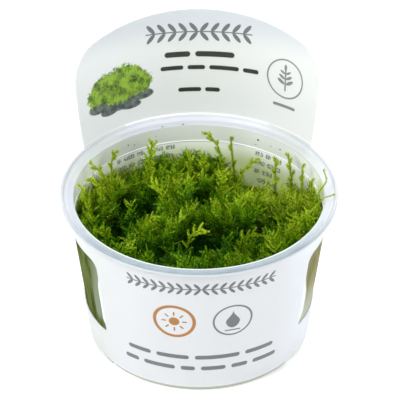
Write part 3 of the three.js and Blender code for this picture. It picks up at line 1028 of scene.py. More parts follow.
@dataclass
class Cup:
    """The moulded cup: conical wall, stacking ledge, straight collar and flange with a lip."""

    base_radius: float = 39.2 * MM
    wall_slope: float = 0.137
    wall: float = 1.1 * MM
    floor: float = 1.3 * MM
    floor_bend: float = 1.2 * MM
    ledge_height: float = 51 * MM
    opening_radius: float = 45.1 * MM
    opening_height: float = 58.2 * MM
    flange: float = 1.2 * MM
    channel_radius: float = 47.7 * MM
    lip: float = 0.5 * MM
    lip_drop: float = 2.1 * MM
    rim_depth: float = 3.3 * MM
    foot_chamfer: float = 0.6 * MM
    collar_fillet: float = 0.6 * MM
    opening_round: float = 0.45 * MM
    wall_steps: int = 6
    flat_share: float = 0.6
    segments: int = 168
    crease: float = 40.0
    mossy_bearings: Pair = (51.5, 118.7)

    def __post_init__(self) -> None:
        """Takes the rim's size from the frame."""
        self.rim_radius, _, self.rim_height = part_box("cup")[1]

    def outside(self, height: float) -> float:
        """Radius of the wall's outside at a height."""
        return self.base_radius + self.wall_slope * height

    def inside(self, height: float) -> float:
        """Radius of the wall's inside at a height."""
        return self.outside(height) - self.wall

    def outline(self) -> Outline:
        """The wall's section, from the middle of the base up the outside and down the inside.

        Returns:
            Points of radius and height.
        """
        ledge, top, rim, crest = self.ledge_height, self.opening_height, self.rim_radius, self.rim_height
        collar, shelf = self.outside(ledge), self.inside(ledge)
        under, foot = top - self.flange, crest - self.lip_drop
        lip, chamfer, channel, edge = self.lip, self.foot_chamfer, self.channel_radius, self.opening_radius
        flat, bend = self.flat_share * self.base_radius, self.floor + self.floor_bend
        fillet, soft = self.collar_fillet, self.opening_round
        rises = [ledge * step / self.wall_steps for step in range(1, self.wall_steps)]
        return [
            (0.0, 0.0),
            (flat, 0.0),
            *arc(self.base_radius - chamfer, chamfer, chamfer, -90, -8, 5),
            *((self.outside(rise), rise) for rise in rises),
            (collar, ledge),
            (collar, under - fillet),
            *arc(collar + fillet, under - fillet, fillet, 180, 98, 4),
            (channel, under + 0.3 * MM),
            *arc(rim - 0.7 * MM, foot + 0.3 * MM, 0.3 * MM, 250, 270, 2),
            *arc(rim - 0.35 * MM, foot + 0.35 * MM, 0.35 * MM, -90, 0, 4),
            *arc(rim - lip, crest - lip, lip, 0, 90, 5),
            *arc(rim - lip - 0.25 * MM, crest - 0.35 * MM, 0.35 * MM, 90, 150, 4),
            (channel + 0.55 * MM, top + 0.4 * MM),
            (channel + 0.15 * MM, top + 0.15 * MM),
            (channel - 0.4 * MM, top + 0.05 * MM),
            (channel - 1.2 * MM, top + 0.12 * MM),
            *arc(edge + soft, top - soft, soft, 90, 180, 5),
            (edge, ledge + 0.9 * MM),
            *arc(edge - 0.3 * MM, ledge + 0.5 * MM, 0.3 * MM, 0, -80, 4),
            *arc(shelf + 0.25 * MM, ledge - 0.15 * MM, 0.25 * MM, 95, 172, 3),
            *((self.inside(rise), rise) for rise in reversed(rises)),
            *arc(self.inside(bend) - self.floor_bend, bend, self.floor_bend, -8, -90, 6),
            (flat, self.floor),
            (0.0, self.floor),
        ]

    def build(self, shop: PrintShop, wall: CupPlastic, rim: MilkyRim, mossy: MossyWall) -> None:
        """Spins the cup and dresses it.

        Args:
            shop: The print's mask groups.
            wall: The plastic of its wall and floor.
            rim: The plastic of its rim.
            mossy: The outside of its wall where the sleeve's windows show moss behind it.
        """
        piece = Bench.spin_outline("cup_body", self.outline(), self.segments)
        Bench.smooth(piece, self.crease)
        clear = wall.material(shop, SleeveFilm.back_marks(), self.rim_radius)
        for material in (clear, rim.material(self), mossy.material()):
            piece.data.materials.append(material)
        start, end = self.mossy_bearings
        for polygon in piece.data.polygons:
            x, y, z = polygon.center
            bearing = abs(math.degrees(math.atan2(x, -y)))
            faces_out = polygon.normal.x * x + polygon.normal.y * y > 0.5 * math.hypot(x, y)
            if z > self.rim_height - self.rim_depth:
                polygon.material_index = 1
            elif faces_out and start < bearing < end and z < self.ledge_height:
                polygon.material_index = 2
        Bench.deliver(piece, Slot.CUP, "cup")


# Sleeve


@dataclass
class Sleeve:
    """The printed sheet: a band round the cup with two windows, and the header behind the rim."""

    cup: Cup
    gap: float = 0.12 * MM
    sheet: float = 0.4 * MM
    bottom: float = 1.8 * MM
    band_top: float = 56.2 * MM
    window_front_left: float = 53.6
    window_front_right: float = 57.2
    window_back: float = 117.0
    sill: float = 15.8 * MM
    lintel: float = 48.6 * MM
    sill_corner: float = 1.6 * MM
    lintel_corner: float = 3.8 * MM
    slot_half_width: float = 27.5 * MM
    header_half_width: float = 48.6 * MM
    header_height: float = 102.3 * MM
    crown_radius: float = 106 * MM
    header_corner: float = 8.8 * MM
    lean: float = 0.12
    unroll: float = 0.73
    bulge_end: float = 78.0
    column_step: float = 2.5
    foot_rows: int = 2
    window_rows: int = 8
    header_rows: int = 22
    crease: float = 30.0

    def __post_init__(self) -> None:
        """Works out the radius outside the rim, and at the middle of the windows."""
        self.rim = self.cup.rim_radius + self.gap
        self.window_radius = self.cup.outside((self.sill + self.lintel) / 2)

    def bulge(self, bearing: float) -> float:
        """How far the sheet stands off the cup's cone at the rim's height."""
        most = self.rim - (self.cup.outside(self.cup.opening_height) + self.gap)
        return most * float(smoothstep(self.bulge_end, self.turned(self.header_half_width), abs(bearing)))

    def point(self, bearing: float, height: float) -> tuple[float, float, float]:
        """A point of the sheet's inner face.

        Args:
            bearing: Its bearing in degrees.
            height: Its height.

        Returns:
            The point.
        """
        above = height - self.cup.rim_height
        if above <= 0:
            turn = math.radians(bearing)
            level = min(height, self.cup.opening_height)
            share = level / self.cup.opening_height
            radius = self.cup.outside(level) + self.gap + self.bulge(bearing) * share
            return radius * math.sin(turn), -radius * math.cos(turn), height
        curl = self.rim + self.unroll * above
        turn = self.along(bearing) / curl
        back = self.rim + self.lean * above
        return curl * math.sin(turn), back - curl + curl * math.cos(turn), height

    def window_front(self, bearing: float) -> float:
        """Bearing of the front edge of the window on the same side as a bearing."""
        return self.window_front_right if bearing >= 0 else self.window_front_left

    def along(self, bearing: float) -> float:
        """Distance along the sheet from the middle of the back, positive to the right."""
        hand = 1.0 if bearing >= 0 else -1.0
        return hand * math.radians(180 - abs(bearing)) * self.rim

    def turned(self, along: float) -> float:
        """Bearing at a distance along the sheet from the middle of the back."""
        return 180 - math.degrees(along / self.rim)

    def header_top(self, along: float) -> float:
        """Height of the header's domed top at a distance from its middle.

        Args:
            along: The distance along the sheet.

        Returns:
            The height.
        """
        crown = self.header_height - self.crown_radius + math.sqrt(self.crown_radius**2 - along**2)
        past = along - (self.header_half_width - self.header_corner)
        if past <= 0:
            return crown
        return crown - self.header_corner + math.sqrt(max(self.header_corner**2 - past**2, 0.0))

    def bearings(self) -> list[float]:
        """Bearings of the sheet's columns, with extra ones at its corners.

        Returns:
            The bearings all the way round, in degrees.
        """
        special = [self.turned(self.slot_half_width)]
        for turn in range(0, 91, 15):
            inset = 1 - math.cos(math.radians(turn))
            for corner in (self.sill_corner, self.lintel_corner):
                inward = math.degrees(corner * inset / self.window_radius)
                special += [self.window_front(hand) + inward for hand in (-1.0, 1.0)]
                special.append(self.window_back - inward)
            special.append(self.turned(self.header_half_width - self.header_corner * inset))
        special = sorted({round(bearing, 3) for bearing in special})
        regular = [self.column_step * step for step in range(round(180 / self.column_step) + 1)]
        keep = [b for b in regular if all(abs(b - other) > self.column_step / 4 for other in special)]
        half = sorted(special + keep)
        return [-b for b in reversed(half)] + half[1:]

    def heights(self, bearing: float) -> list[float]:
        """Heights of the sheet's rows at a bearing.

        Args:
            bearing: The bearing of the column, in degrees.

        Returns:
            The heights, from the foot to the band's top and then up the header.
        """
        side = abs(bearing)
        from_end = math.radians(min(side - self.window_front(bearing), self.window_back - side))
        from_end *= self.window_radius
        rise = [0.0, 0.0]
        if from_end > -1e-4 * MM:
            for end, corner in enumerate((self.sill_corner, self.lintel_corner)):
                left = max(corner - max(from_end, 0.0), 0.0)
                rise[end] = corner - math.sqrt(corner**2 - left**2)
        sill, lintel = self.sill + rise[0], self.lintel - rise[1]
        rows = [self.bottom, (self.bottom + sill) / 2]
        rows += [sill + (lintel - sill) * step / self.window_rows for step in range(self.window_rows + 1)]
        rows += [(lintel + self.band_top) / 2, self.band_top]
        rim_height = self.cup.rim_height
        span = self.header_top(min(abs(self.along(bearing)), self.header_half_width)) - rim_height
        last = self.header_rows - 1
        return rows + [rim_height + span * (step / last) for step in range(self.header_rows)]

    def is_open(self, bearing: float, row: int) -> bool:
        """Whether a cell is left out: in a window, in the slot at the rim, or beside the header.

        Args:
            bearing: The bearing of its middle, in degrees.
            row: Its row from the foot.

        Returns:
            True if there is no sheet.
        """
        past_window = self.foot_rows + self.window_rows
        slot_row = past_window + 2
        if self.foot_rows <= row < past_window:
            return self.window_front(bearing) < abs(bearing) < self.window_back
        along = abs(self.along(bearing))
        if row == slot_row and along < self.slot_half_width:
            return True
        return row >= slot_row and along > self.header_half_width

    def build(self, shop: PrintShop, finish: SleeveFilm) -> None:
        """Bends a flat grid into the sheet, cuts it out, thickens it and dresses it.

        Args:
            shop: The print's mask groups.
            finish: The sheet's material.
        """
        bearings = self.bearings()
        columns = [self.heights(bearing) for bearing in bearings]
        across, up = len(bearings), len(columns[0])
        Bench.clear()
        bpy.ops.mesh.primitive_grid_add(x_subdivisions=across - 1, y_subdivisions=up - 1, size=1.0)
        piece = bpy.context.active_object
        piece.name = "printed_sleeve"
        mesh = piece.data
        front = mesh.uv_layers[0] if mesh.uv_layers else mesh.uv_layers.new()
        front.name = "front_mm"
        back = mesh.uv_layers.new(name="back_mm")
        places = [self.point(bearings[i], columns[i][j]) for j in range(up) for i in range(across)]
        mesh.vertices.foreach_set("co", [value for place in places for value in place])
        left_out: list[bool] = []
        for polygon in mesh.polygons:
            cells = [divmod(vertex, across) for vertex in polygon.vertices]
            row, column = (min(numbers) for numbers in zip(*cells))
            left_out.append(self.is_open((bearings[column] + bearings[column + 1]) / 2, row))
            hand = 1 if bearings[column] >= 0 else -1
            for loop, (level, i) in zip(polygon.loop_indices, cells):
                height = columns[i][level] / MM
                front.data[loop].uv = (math.radians(bearings[i]) * self.window_radius / MM, height)
                back.data[loop].uv = (hand * self.along(abs(bearings[i])) / MM, height)
        Bench.take(piece)
        bpy.context.tool_settings.mesh_select_mode = (False, False, True)
        bpy.ops.object.mode_set(mode="EDIT")
        bpy.ops.mesh.select_all(action="DESELECT")
        bpy.ops.object.mode_set(mode="OBJECT")
        mesh.polygons.foreach_set("select", left_out)
        bpy.ops.object.mode_set(mode="EDIT")
        bpy.ops.mesh.delete(type="FACE")
        bpy.ops.mesh.select_mode(type="VERT")
        bpy.ops.mesh.select_all(action="SELECT")
        bpy.ops.mesh.remove_doubles(threshold=WELD)
        bpy.ops.object.mode_set(mode="OBJECT")
        for face in SheetFace:
            mesh.materials.append(finish.material(shop, face))
        thick = piece.modifiers.new("thickness", "SOLIDIFY")
        thick.thickness, thick.offset, thick.use_even_offset = self.sheet, 1.0, True
        thick.material_offset = SheetFace.INSIDE.value
        bpy.ops.object.modifier_apply(modifier=thick.name)
        Bench.smooth(piece, self.crease)
        Bench.deliver(piece, Slot.SLEEVE, "label_sleeve")


# Moss


@dataclass(frozen=True)
class MossLeaves:
    """Wet moss leaves: dark and olive at the foot, bright yellow-green at the tips, from tones that also
    carry painted light and shade.
    """

    name: str
    deep: Colour = (0.0022, 0.028, 0.0004)
    middle: Colour = (0.04, 0.14, 0.001)
    bright: Colour = (0.17, 0.345, 0.002)
    tip: Colour = (0.46, 0.6, 0.03)
    old: Colour = (0.15, 0.095, 0.01)
    middle_tone: float = 0.38
    bright_tone: float = 0.74
    roughness: Pattern = Pattern(400.0, 2.0, 0.3, 0.7, 0.28, 0.58)
    gloss: float = 0.05
    wet: Pattern = Pattern(260.0, 2.0, 0.6, 0.68, 0.0, 0.4)
    wet_roughness: float = 0.12

    def material(self) -> Material:
        """Makes the leaves' material from the tone and age that each leaf carries.

        Returns:
            The material.
        """
        material, graph, shader = new_material(self.name)
        tone, age = (graph.node("Attribute", attribute_name=name).outputs["Fac"] for name in ("tone", "age"))
        ramp = graph.node("ValToRGB", {"Fac": tone})
        stops = ramp.color_ramp.elements
        for position in (self.middle_tone, self.bright_tone):
            stops.new(position)
        for stop, colour in zip(stops, (self.deep, self.middle, self.bright, self.tip)):
            stop.color = (*colour, 1.0)
        place = graph.place()
        finish = {"Base Color": graph.mix(age, ramp.outputs["Color"], self.old)}
        finish |= {"Roughness": graph.blotches(place, self.roughness)}
        finish |= {"Coat Weight": graph.blotches(place, self.wet)}
        graph.feed(shader, finish | {"Specular IOR Level": self.gloss, "Coat Roughness": self.wet_roughness})
        return material


SHOOT_LEAVES = MossLeaves(
    "moss_shoot_leaves",
    middle=(0.05, 0.125, 0.001),
    bright=(0.24, 0.38, 0.004),
    wet=Pattern(260.0, 2.0, 0.6, 0.68, 0.0, 0.2),
)


@dataclass(frozen=True)
class CrumbDirt:
    """Dark wet crumbs that stick to the cup."""

    dark: Colour = (0.05, 0.055, 0.035)
    pale: Colour = (0.12, 0.12, 0.08)
    speck: Pattern = Pattern(900.0, 2.0, 0.35, 0.65)
    roughness: float = 0.7
    uneven: Pair = (0.55, 1.1)
    stretch: float = 1.3
    stands: float = 0.3
    sinks: float = 0.1
    on_edge: float = 0.5 * MM

    def material(self) -> Material:
        """Makes the crumbs' material.

        Returns:
            The material.
        """
        material, graph, shader = new_material("crumb_dirt")
        colour = graph.mix(graph.blotches(graph.place(), self.speck), self.dark, self.pale)
        graph.feed(shader, {"Base Color": colour, "Roughness": self.roughness})
        return material


@dataclass(frozen=True)
class SprigShape:
    """How a sprig of moss branches and how its leaves sit."""

    branches: int = 8
    branch_length: float = 3.6 * MM
    tip_length: float = 1.2 * MM
    branch_start: float = 0.28
    branch_end: float = 0.94
    angle: float = math.radians(52)
    leaf_length: float = 0.74 * MM
    leaf_width: float = 0.34 * MM
    leaf_spread: float = 0.95
    leaf_ahead: float = 0.75
    leaf_lifts: Pair = (0.5, -0.15)
    leaf_jitter: float = 0.2
    leaf_shades: tuple[float, float, float] = (-0.06, -0.06, 0.07)
    tip_leaf: float = 0.6
    spacing: float = 0.38 * MM
    speckle: float = 0.13
    stem_radius: float = 0.12 * MM
    stem_taper: float = 0.35
    stem_shade: float = 0.8
    twig_shift: float = 0.012
    twig_lengths: Pair = (0.75, 1.15)
    twig_angles: Pair = (0.8, 1.1)
    twig_lift: float = 0.12
    twig_bend: float = 0.3
    twig_brighter: float = 0.14
    ranks: int = 2


def carry(mesh: bpy.types.Mesh, tone: Array, age: Array) -> None:
    """Writes the tone and the age of a mesh's points as attributes.

    Args:
        mesh: The mesh.
        tone: The tones, from dark at 0 to bright at 1.
        age: The ages, from green at 0 to brown at 1.
    """
    for name, values in (("tone", tone), ("age", age)):
        attribute = mesh.attributes.new(name, "FLOAT", "POINT")
        attribute.data.foreach_set("value", values.astype(np.float32))


@dataclass
class LeafMesh:
    """Vertices, triangles and leaf tones that are gathered before a mesh is made."""

    points: Array
    triangles: Array
    tone: Array
    age: Array

    @staticmethod
    def join(parts: Sequence["LeafMesh"]) -> "LeafMesh":
        """Joins several into one.

        Args:
            parts: The meshes.

        Returns:
            The joined mesh.
        """
        shifts = np.cumsum([0] + [len(part.points) for part in parts[:-1]])
        triangles = np.concatenate([part.triangles + shift for part, shift in zip(parts, shifts)])
        points, tone, age = (
            np.concatenate([getattr(part, name) for part in parts]) for name in ("points", "tone", "age")
        )
        return LeafMesh(points, triangles, tone, age)

    def piece(self, name: str, material: Material) -> Piece:
        """Makes a Blender object of it, with tone and age as attributes.

        Args:
            name: The piece's name.
            material: Its material.

        Returns:
            The piece.
        """
        mesh = bpy.data.meshes.new(name)
        mesh.vertices.add(len(self.points))
        mesh.vertices.foreach_set("co", self.points.astype(np.float32).ravel())
        count = len(self.triangles)
        mesh.loops.add(3 * count)
        mesh.loops.foreach_set("vertex_index", self.triangles.astype(np.int32).ravel())
        mesh.polygons.add(count)
        mesh.polygons.foreach_set("loop_start", np.arange(0, 3 * count, 3, dtype=np.int32))
        mesh.update(calc_edges=True)
        carry(mesh, self.tone, self.age)
        mesh.materials.append(material)
        piece = bpy.data.objects.new(name, mesh)
        bpy.context.scene.collection.objects.link(piece)
        return piece


def unit(vectors: Array) -> Array:
    """Scales vectors to a length of one."""
    return vectors / np.maximum(np.linalg.norm(vectors, axis=-1, keepdims=True), 1e-12)


def square_to(ahead: Array, side: Array) -> tuple[Array, Array]:
    """Finds the directions across and above a strand's own.

    Args:
        ahead: The strand's directions.
        side: The direction across the sprig's flat.

    Returns:
        The directions across and the directions above.
    """
    across = unit(side - ahead * (ahead @ side)[..., None])
    return across, np.cross(across, ahead)


class SprigMaker:
    """Grows leaves and side branches along a stem."""

    def __init__(self, seed: int) -> None:
        """Starts its own seeded draws."""
        self.draw = np.random.default_rng(seed)

    def leafy(
        self, path: Array, side: Array, shape: SprigShape, tones: Pair, with_stem: bool = True
    ) -> LeafMesh:
        """Clothes one strand in leaves.

        Args:
            path: Points along the strand.
            side: The direction across the sprig's flat.
            shape: Leaf and stem sizes.
            tones: Leaf tone at the strand's foot and at its tip.
            with_stem: Whether the strand has a stem that shows.

        Returns:
            The leaves and the stem.
        """
        steps = np.linalg.norm(np.diff(path, axis=0), axis=1)
        reach = np.concatenate([[0.0], np.cumsum(steps)])
        count = max(int(reach[-1] / shape.spacing), 3)
        shares = (np.arange(count) + self.draw.uniform(0.2, 0.8)) / count
        stations = shares * reach[-1]
        places = np.stack([np.interp(stations, reach, way) for way in path.T], 1)
        ahead = unit(np.stack([np.interp(stations, reach, np.gradient(way, reach)) for way in path.T], 1))
        across, above = square_to(ahead, side)
        points, tone = [], []
        for rank in range(shape.ranks):
            turn = 2 * math.pi * rank / shape.ranks
            aside = across * math.cos(turn) + above * math.sin(turn)
            upper = above * math.cos(turn) - across * math.sin(turn)
            jitter = self.draw.normal(0.0, shape.leaf_jitter, (count, 3))
            lift = np.where(np.arange(count) % 2 == 0, *shape.leaf_lifts)[:, None] * math.cos(turn)
            direction = unit(ahead * shape.leaf_ahead + aside * shape.leaf_spread + upper * lift + jitter)
            width = unit(np.cross(direction, upper + 0.5 * aside))
            size = (1.0 - (1.0 - shape.tip_leaf) * shares**2) * self.draw.uniform(0.8, 1.2, count)
            reach_out = direction * (shape.leaf_length * size)[:, None]
            half = width * (0.5 * shape.leaf_width * size)[:, None]
            base = tones[0] + (tones[1] - tones[0]) * shares**1.2
            base = base + self.draw.normal(0.0, shape.speckle, count)
            points.append(np.stack([places + half, places - half, places + reach_out], 1).reshape(-1, 3))
            tone.append((base[:, None] + np.array(shape.leaf_shades)).ravel())
        triangles = [np.arange(3 * count * shape.ranks).reshape(-1, 3)]
        if with_stem:
            stem_points, stem_triangles = self._stem(path, side, shape)
            triangles.append(stem_triangles + 3 * count * shape.ranks)
            points.append(stem_points)
            tone.append(np.full(len(stem_points), tones[0] * shape.stem_shade))
        flat = np.concatenate(tone)
        return LeafMesh(np.concatenate(points), np.concatenate(triangles), flat, np.zeros(len(flat)))

    @staticmethod
    def _stem(path: Array, side: Array, shape: SprigShape) -> tuple[Array, Array]:
        """Makes a thin three-sided stem along a path, tapering to its tip.

        Args:
            path: Points along the stem.
            side: The direction across the sprig's flat.
            shape: Its radius and its taper.

        Returns:
            Its points and its triangles.
        """
        across, above = square_to(unit(np.gradient(path, axis=0)), side)
        taper = np.linspace(1.0, shape.stem_taper, len(path))[:, None] * shape.stem_radius
        turns = [2 * math.pi * corner / 3 for corner in range(3)]
        rings = [path + (across * math.cos(turn) + above * math.sin(turn)) * taper for turn in turns]
        triangles = []
        for low in range(0, 3 * (len(path) - 1), 3):
            for corner in range(3):
                after, high = (corner + 1) % 3, low + 3
                triangles.append((low + corner, low + after, high + after))
                triangles.append((low + corner, high + after, high + corner))
        return np.stack(rings, 1).reshape(-1, 3), np.array(triangles)

    def sprig(self, path: Array, side: Array, shape: SprigShape, tones: Pair) -> LeafMesh:
        """Grows a whole sprig: a leafy stem with leafy side branches in turn.

        Args:
            path: Points along the stem.
            side: The direction across the sprig's flat.
            shape: Its sizes.
            tones: Leaf tone at its foot and at its tip.

        Returns:
            The sprig.
        """
        parts = [self.leafy(path, side, shape, tones)]
        directions = unit(np.gradient(path, axis=0))
        last = len(path) - 1
        span = shape.branch_end - shape.branch_start
        for branch in range(shape.branches):
            share = shape.branch_start + span * branch / max(shape.branches - 1, 1)
            share += self.draw.normal(0.0, shape.twig_shift)
            hand = 1.0 if branch % 2 else -1.0
            station = np.clip(share, 0.02, 0.98) * last
            low = int(station)
            start = path[low] + (path[min(low + 1, last)] - path[low]) * (station - low)
            forward = directions[low]
            across, above = square_to(forward, side)
            fullness = math.sin(math.pi * min(0.18 + 0.75 * (1 - share), 0.5))
            length = shape.tip_length + (shape.branch_length - shape.tip_length) * fullness
            length *= self.draw.uniform(*shape.twig_lengths)
            angle = shape.angle * self.draw.uniform(*shape.twig_angles)
            direction = forward * math.cos(angle) + across * (hand * math.sin(angle))
            direction = direction + above * self.draw.normal(0.0, shape.twig_lift)
            shares = np.linspace(0.0, 1.0, 4)[:, None]
            twig = start + direction * shares * length + forward * shape.twig_bend * length * shares**2
            foot = tones[0] + (tones[1] - tones[0]) * share
            tip = foot + shape.twig_brighter
            parts.append(self.leafy(twig, forward, shape, (foot, tip), with_stem=False))
        return LeafMesh.join(parts)


class ShootKind(Enum):
    """How a shoot is clothed."""

    PLUME = "leaves all round and short twigs"
    FEATHER = "leaves in two rows and longer twigs"
    STRAND = "thin and bright, with hardly a twig"


@dataclass(frozen=True)
class Shoot:
    """One shoot that stands clear of the tangle, with its stem's points in millimetres."""

    name: str
    face: float
    foot: Pair
    stem: tuple[tuple[float, float, float], ...]
    branches: int = 6
    branch_length: float = 2.2
    kind: ShootKind = ShootKind.PLUME


SHOOT_SHAPES = {
    ShootKind.PLUME: SprigShape(
        tip_length=0.8 * MM,
        branch_start=0.2,
        angle=math.radians(40),
        leaf_length=1.15 * MM,
        leaf_width=0.4 * MM,
        leaf_spread=1.2,
        spacing=0.27 * MM,
        speckle=0.2,
        stem_radius=0.16 * MM,
        ranks=5,
    ),
    ShootKind.FEATHER: SprigShape(
        branch_start=0.2,
        leaf_length=0.85 * MM,
        leaf_width=0.4 * MM,
        leaf_spread=1.05,
        spacing=0.3 * MM,
        speckle=0.16,
    ),
    ShootKind.STRAND: SprigShape(
        tip_length=0.8 * MM,
        angle=math.radians(40),
        leaf_length=0.85 * MM,
        leaf_width=0.36 * MM,
        spacing=0.24 * MM,
        speckle=0.14,
        stem_radius=0.18 * MM,
        ranks=4,
    ),
}
SHOOT_TONES = {ShootKind.PLUME: (0.6, 0.92), ShootKind.FEATHER: (0.42, 0.86), ShootKind.STRAND: (0.84, 1.0)}

FEATHER = (10, 3.0, ShootKind.FEATHER)
EDGE_FEATHER = (9, 2.6, ShootKind.FEATHER)
STRAND = (2, 1.0, ShootKind.STRAND)

SHOOTS = (
    Shoot("back_arching", 10, (10.5, 23), ((7.8, 30, 57.3), (3.1, 33.9, 62.4)), 7),
    Shoot("back_upright", -15, (14.5, 26), ((13, 29.6, 52), (12.2, 31.7, 61.8)), 4, 1.6),
    Shoot("back_broad", 0, (-18, 24), ((-17.6, 28, 51), (-16.5, 34.5, 58.5)), 9, 3.4),
    Shoot("back_short_left", 20, (-3, 30), ((-2.7, 35.2, 51.6),), 5),
    Shoot("back_short_right", -10, (3.2, 31), ((1.9, 36.4, 50.6),), 5),
    Shoot("back_leaning", -10, (13.5, 17), ((16, 22, 51.7), (22, 27.4, 55)), 6),
    Shoot("left_slender", 5, (-30.5, 16), ((-31.5, 22.9, 55.3), (-29.8, 25.9, 60)), 6),
    Shoot("left_reaching", -10, (-28.5, 8), ((-33.5, 12, 57), (-39.5, 17.2, 61)), 6),
    Shoot("left_low", 10, (-33, 3), ((-35.6, 7.5, 56.6), (-39.9, 10.6, 58.3)), 5),
    Shoot("left_edge", 25, (-37, -4), ((-40.6, -0.5, 55.8), (-42.7, 5.5, 58.8)), 5),
    Shoot("right_back", -5, (28.2, 17), ((28.2, 21, 51), (28.4, 25.2, 56.4)), 5),
    Shoot("right_forked", -20, (34, 14), ((34, 18, 51.6), (33, 25, 58.8)), 7),
    Shoot("right_upright", -10, (36.8, 6.5), ((37.4, 10, 52), (38, 16.9, 59.4)), 4, 1.6),
    Shoot("right_short", -10, (40.4, 1.5), ((40.8, 6.8, 55), (41, 10, 57)), 4, 1.6),
    Shoot("right_curling", 0, (38.5, -5), ((42.7, -2.2, 59.6), (45.8, 1.8, 62.4), (44.8, 5, 65)), *STRAND),
    Shoot(
        "right_over_rim", 0, (38.5, -9), ((42.5, -7, 58.3), (45.6, -5.7, 60.2), (48.4, -4.9, 61.2)), *STRAND
    ),
    Shoot("middle_back", 15, (6, 9), ((8, 12, 53), (9, 17, 57)), *FEATHER),
    Shoot("middle_left", -20, (-12, 4), ((-13, 7, 53.5), (-17, 10, 57)), *FEATHER),
    Shoot("middle_right", 20, (21, 3), ((22, 6, 54), (26, 9, 57.5)), *FEATHER),
    Shoot("front_left", 15, (-22, -14), ((-21, -13, 53), (-16, -10, 56.5)), *FEATHER),
    Shoot("front_middle", -10, (-5, -21), ((-4, -21, 53.5), (1, -19, 57)), *FEATHER),
    Shoot("front_right", 10, (14, -23), ((15, -22, 54), (20, -22, 57)), *FEATHER),
    Shoot("front_right_edge", -20, (30, -20), ((32, -20, 56), (35, -22, 59.5)), *EDGE_FEATHER),
    Shoot("front_left_edge", 10, (-33, -19), ((-34, -19, 55), (-36, -21, 58.5)), *EDGE_FEATHER),
)

# Crumbs on the cup: bearing in degrees, height and size in millimetres
CRUMBS = (
    (-163.9, 58.3, 0.42),
    (-173.7, 58.3, 0.36),
    (-149.3, 53.8, 0.26),
    (-145.9, 54.6, 0.38),
    (-160.5, 54.9, 0.24),
    (150.2, 55.2, 0.55),
    (151.4, 52.9, 0.26),
    (143.1, 54.3, 0.3),
    (137.7, 54.7, 0.34),
)

# Browned patches of the moss: x, y and radius in millimetres, and how strong they are
OLD_PATCHES = ((30, 1, 8, 1.0), (22, 20, 6, 0.6), (-5, 17, 5, 0.5), (-37, 0, 5, 0.5))

# Hollows in the moss: x, y, radius and depth in millimetres
HOLLOWS = (
    (-23, 9.5, 8.5, 10),
    (3, 15, 5.5, 8),
    (1, -16.5, 7.5, 11),
    (20, -10, 6, 8),
    (-30, -10, 6, 7),
    (-14, -24, 5, 4),
)

# Painted light and shade on the moss: its tone is raised to the right and at the back and lowered at the
# front, in the rim's shadow: by how much, in which direction, from where to where
LIGHT = (
    (0.12, (1, 0), 8 * MM, 40 * MM),
    (0.09, (0, 1), 0.0, 25 * MM),
    (-0.37, (0, -1), 12 * MM, 41 * MM),
    (0.16, (1, 0), 35 * MM, 42 * MM),
)


def moss_mound(x: Array, y: Array, opening: float) -> Array:
    """Height of the moss without its hollows: low at the back wall, high at the front and sides.

    Args:
        x: Places to the right, in millimetres.
        y: Places to the back, in millimetres.
        opening: Radius of the cup's opening, in millimetres.

    Returns:
        The heights, in millimetres.
    """
    distance = np.hypot(x, y) / opening
    back = smoothstep(0, 32, y)
    height = 49.5 - (4.5 + 9.5 * smoothstep(8, 20, x)) * back
    height = height + 3.5 * smoothstep(22, 42, x) * (1 - back)
    height = height + 1.5 * smoothstep(25, 42, -x) * (1 - back)
    height = height + 1.3 * np.sin(0.31 * x + 0.6) * np.cos(0.27 * y - 0.4) * (1 - 0.5 * distance)
    height = height + 0.9 * np.sin(0.55 * x - 0.38 * y)
    return height + 1.5 * np.sin(0.6 * x + 1.1) * np.sin(0.57 * y + 0.3) * (1 - 0.4 * distance)


def spread_of(spots: Sequence[tuple], places: Array, widen: float = 1.0) -> Array:
    """Adds up round spots that fade outward.

    Args:
        spots: The x, y, radius and strength of each, in millimetres.
        places: Points, of which x and y are used.
        widen: By how much the radii are widened.

    Returns:
        The sum of the strengths at each place.
    """
    x, y = places[:, 0] / MM, places[:, 1] / MM
    total = np.zeros(len(places))
    for middle_x, middle_y, radius, strength in spots:
        total += strength * np.exp(-((x - middle_x) ** 2 + (y - middle_y) ** 2) / (widen * radius) ** 2)
    return total


def smooth_path(stops: Array, count: int) -> Array:
    """Draws a smooth curve through points.

    Args:
        stops: The points that it passes.
        count: How many points to give back.

    Returns:
        Points along the curve, from the first stop to the last.
    """
    padded = np.concatenate([[2 * stops[0] - stops[1]], stops, [2 * stops[-1] - stops[-2]]])
    spans = len(stops) - 1
    curve = []
    for position in np.linspace(0, spans, count):
        span = min(int(position), spans - 1)
        t = position - span
        a, b, c, d = padded[span : span + 4]
        bend = (2 * a - 5 * b + 4 * c - d) * t**2 + (3 * b - a - 3 * c + d) * t**3
        curve.append(0.5 * (2 * b + (c - a) * t + bend))
    return np.array(curve)


@dataclass(frozen=True)
class FrondLayer:
    """One layer of fronds: how many, how large, how deep they are rooted and how they lie."""

    fronds: int
    length: float
    branch_length: Pair
    branches: int
    depth: Pair
    lean: float
    unruly: float
    droop: Pair
    tones: Pair
    templates: int
    seed: int


UNDERSTOREY = FrondLayer(
    fronds=2300,
    length=10.5 * MM,
    branch_length=(2.0 * MM, 3.2 * MM),
    branches=10,
    depth=(6.5 * MM, 10.5 * MM),
    lean=0.6,
    unruly=0.55,
    droop=(-0.45, 0.25),
    tones=(0.1, 0.5),
    templates=12,
    seed=7,
)
TOPS = FrondLayer(
    fronds=620,
    length=14 * MM,
    branch_length=(2.8 * MM, 4.4 * MM),
    branches=13,
    depth=(8.0 * MM, 11.0 * MM),
    lean=0.85,
    unruly=0.3,
    droop=(-0.62, -0.05),
    tones=(0.16, 0.66),
    templates=9,
    seed=19,
)


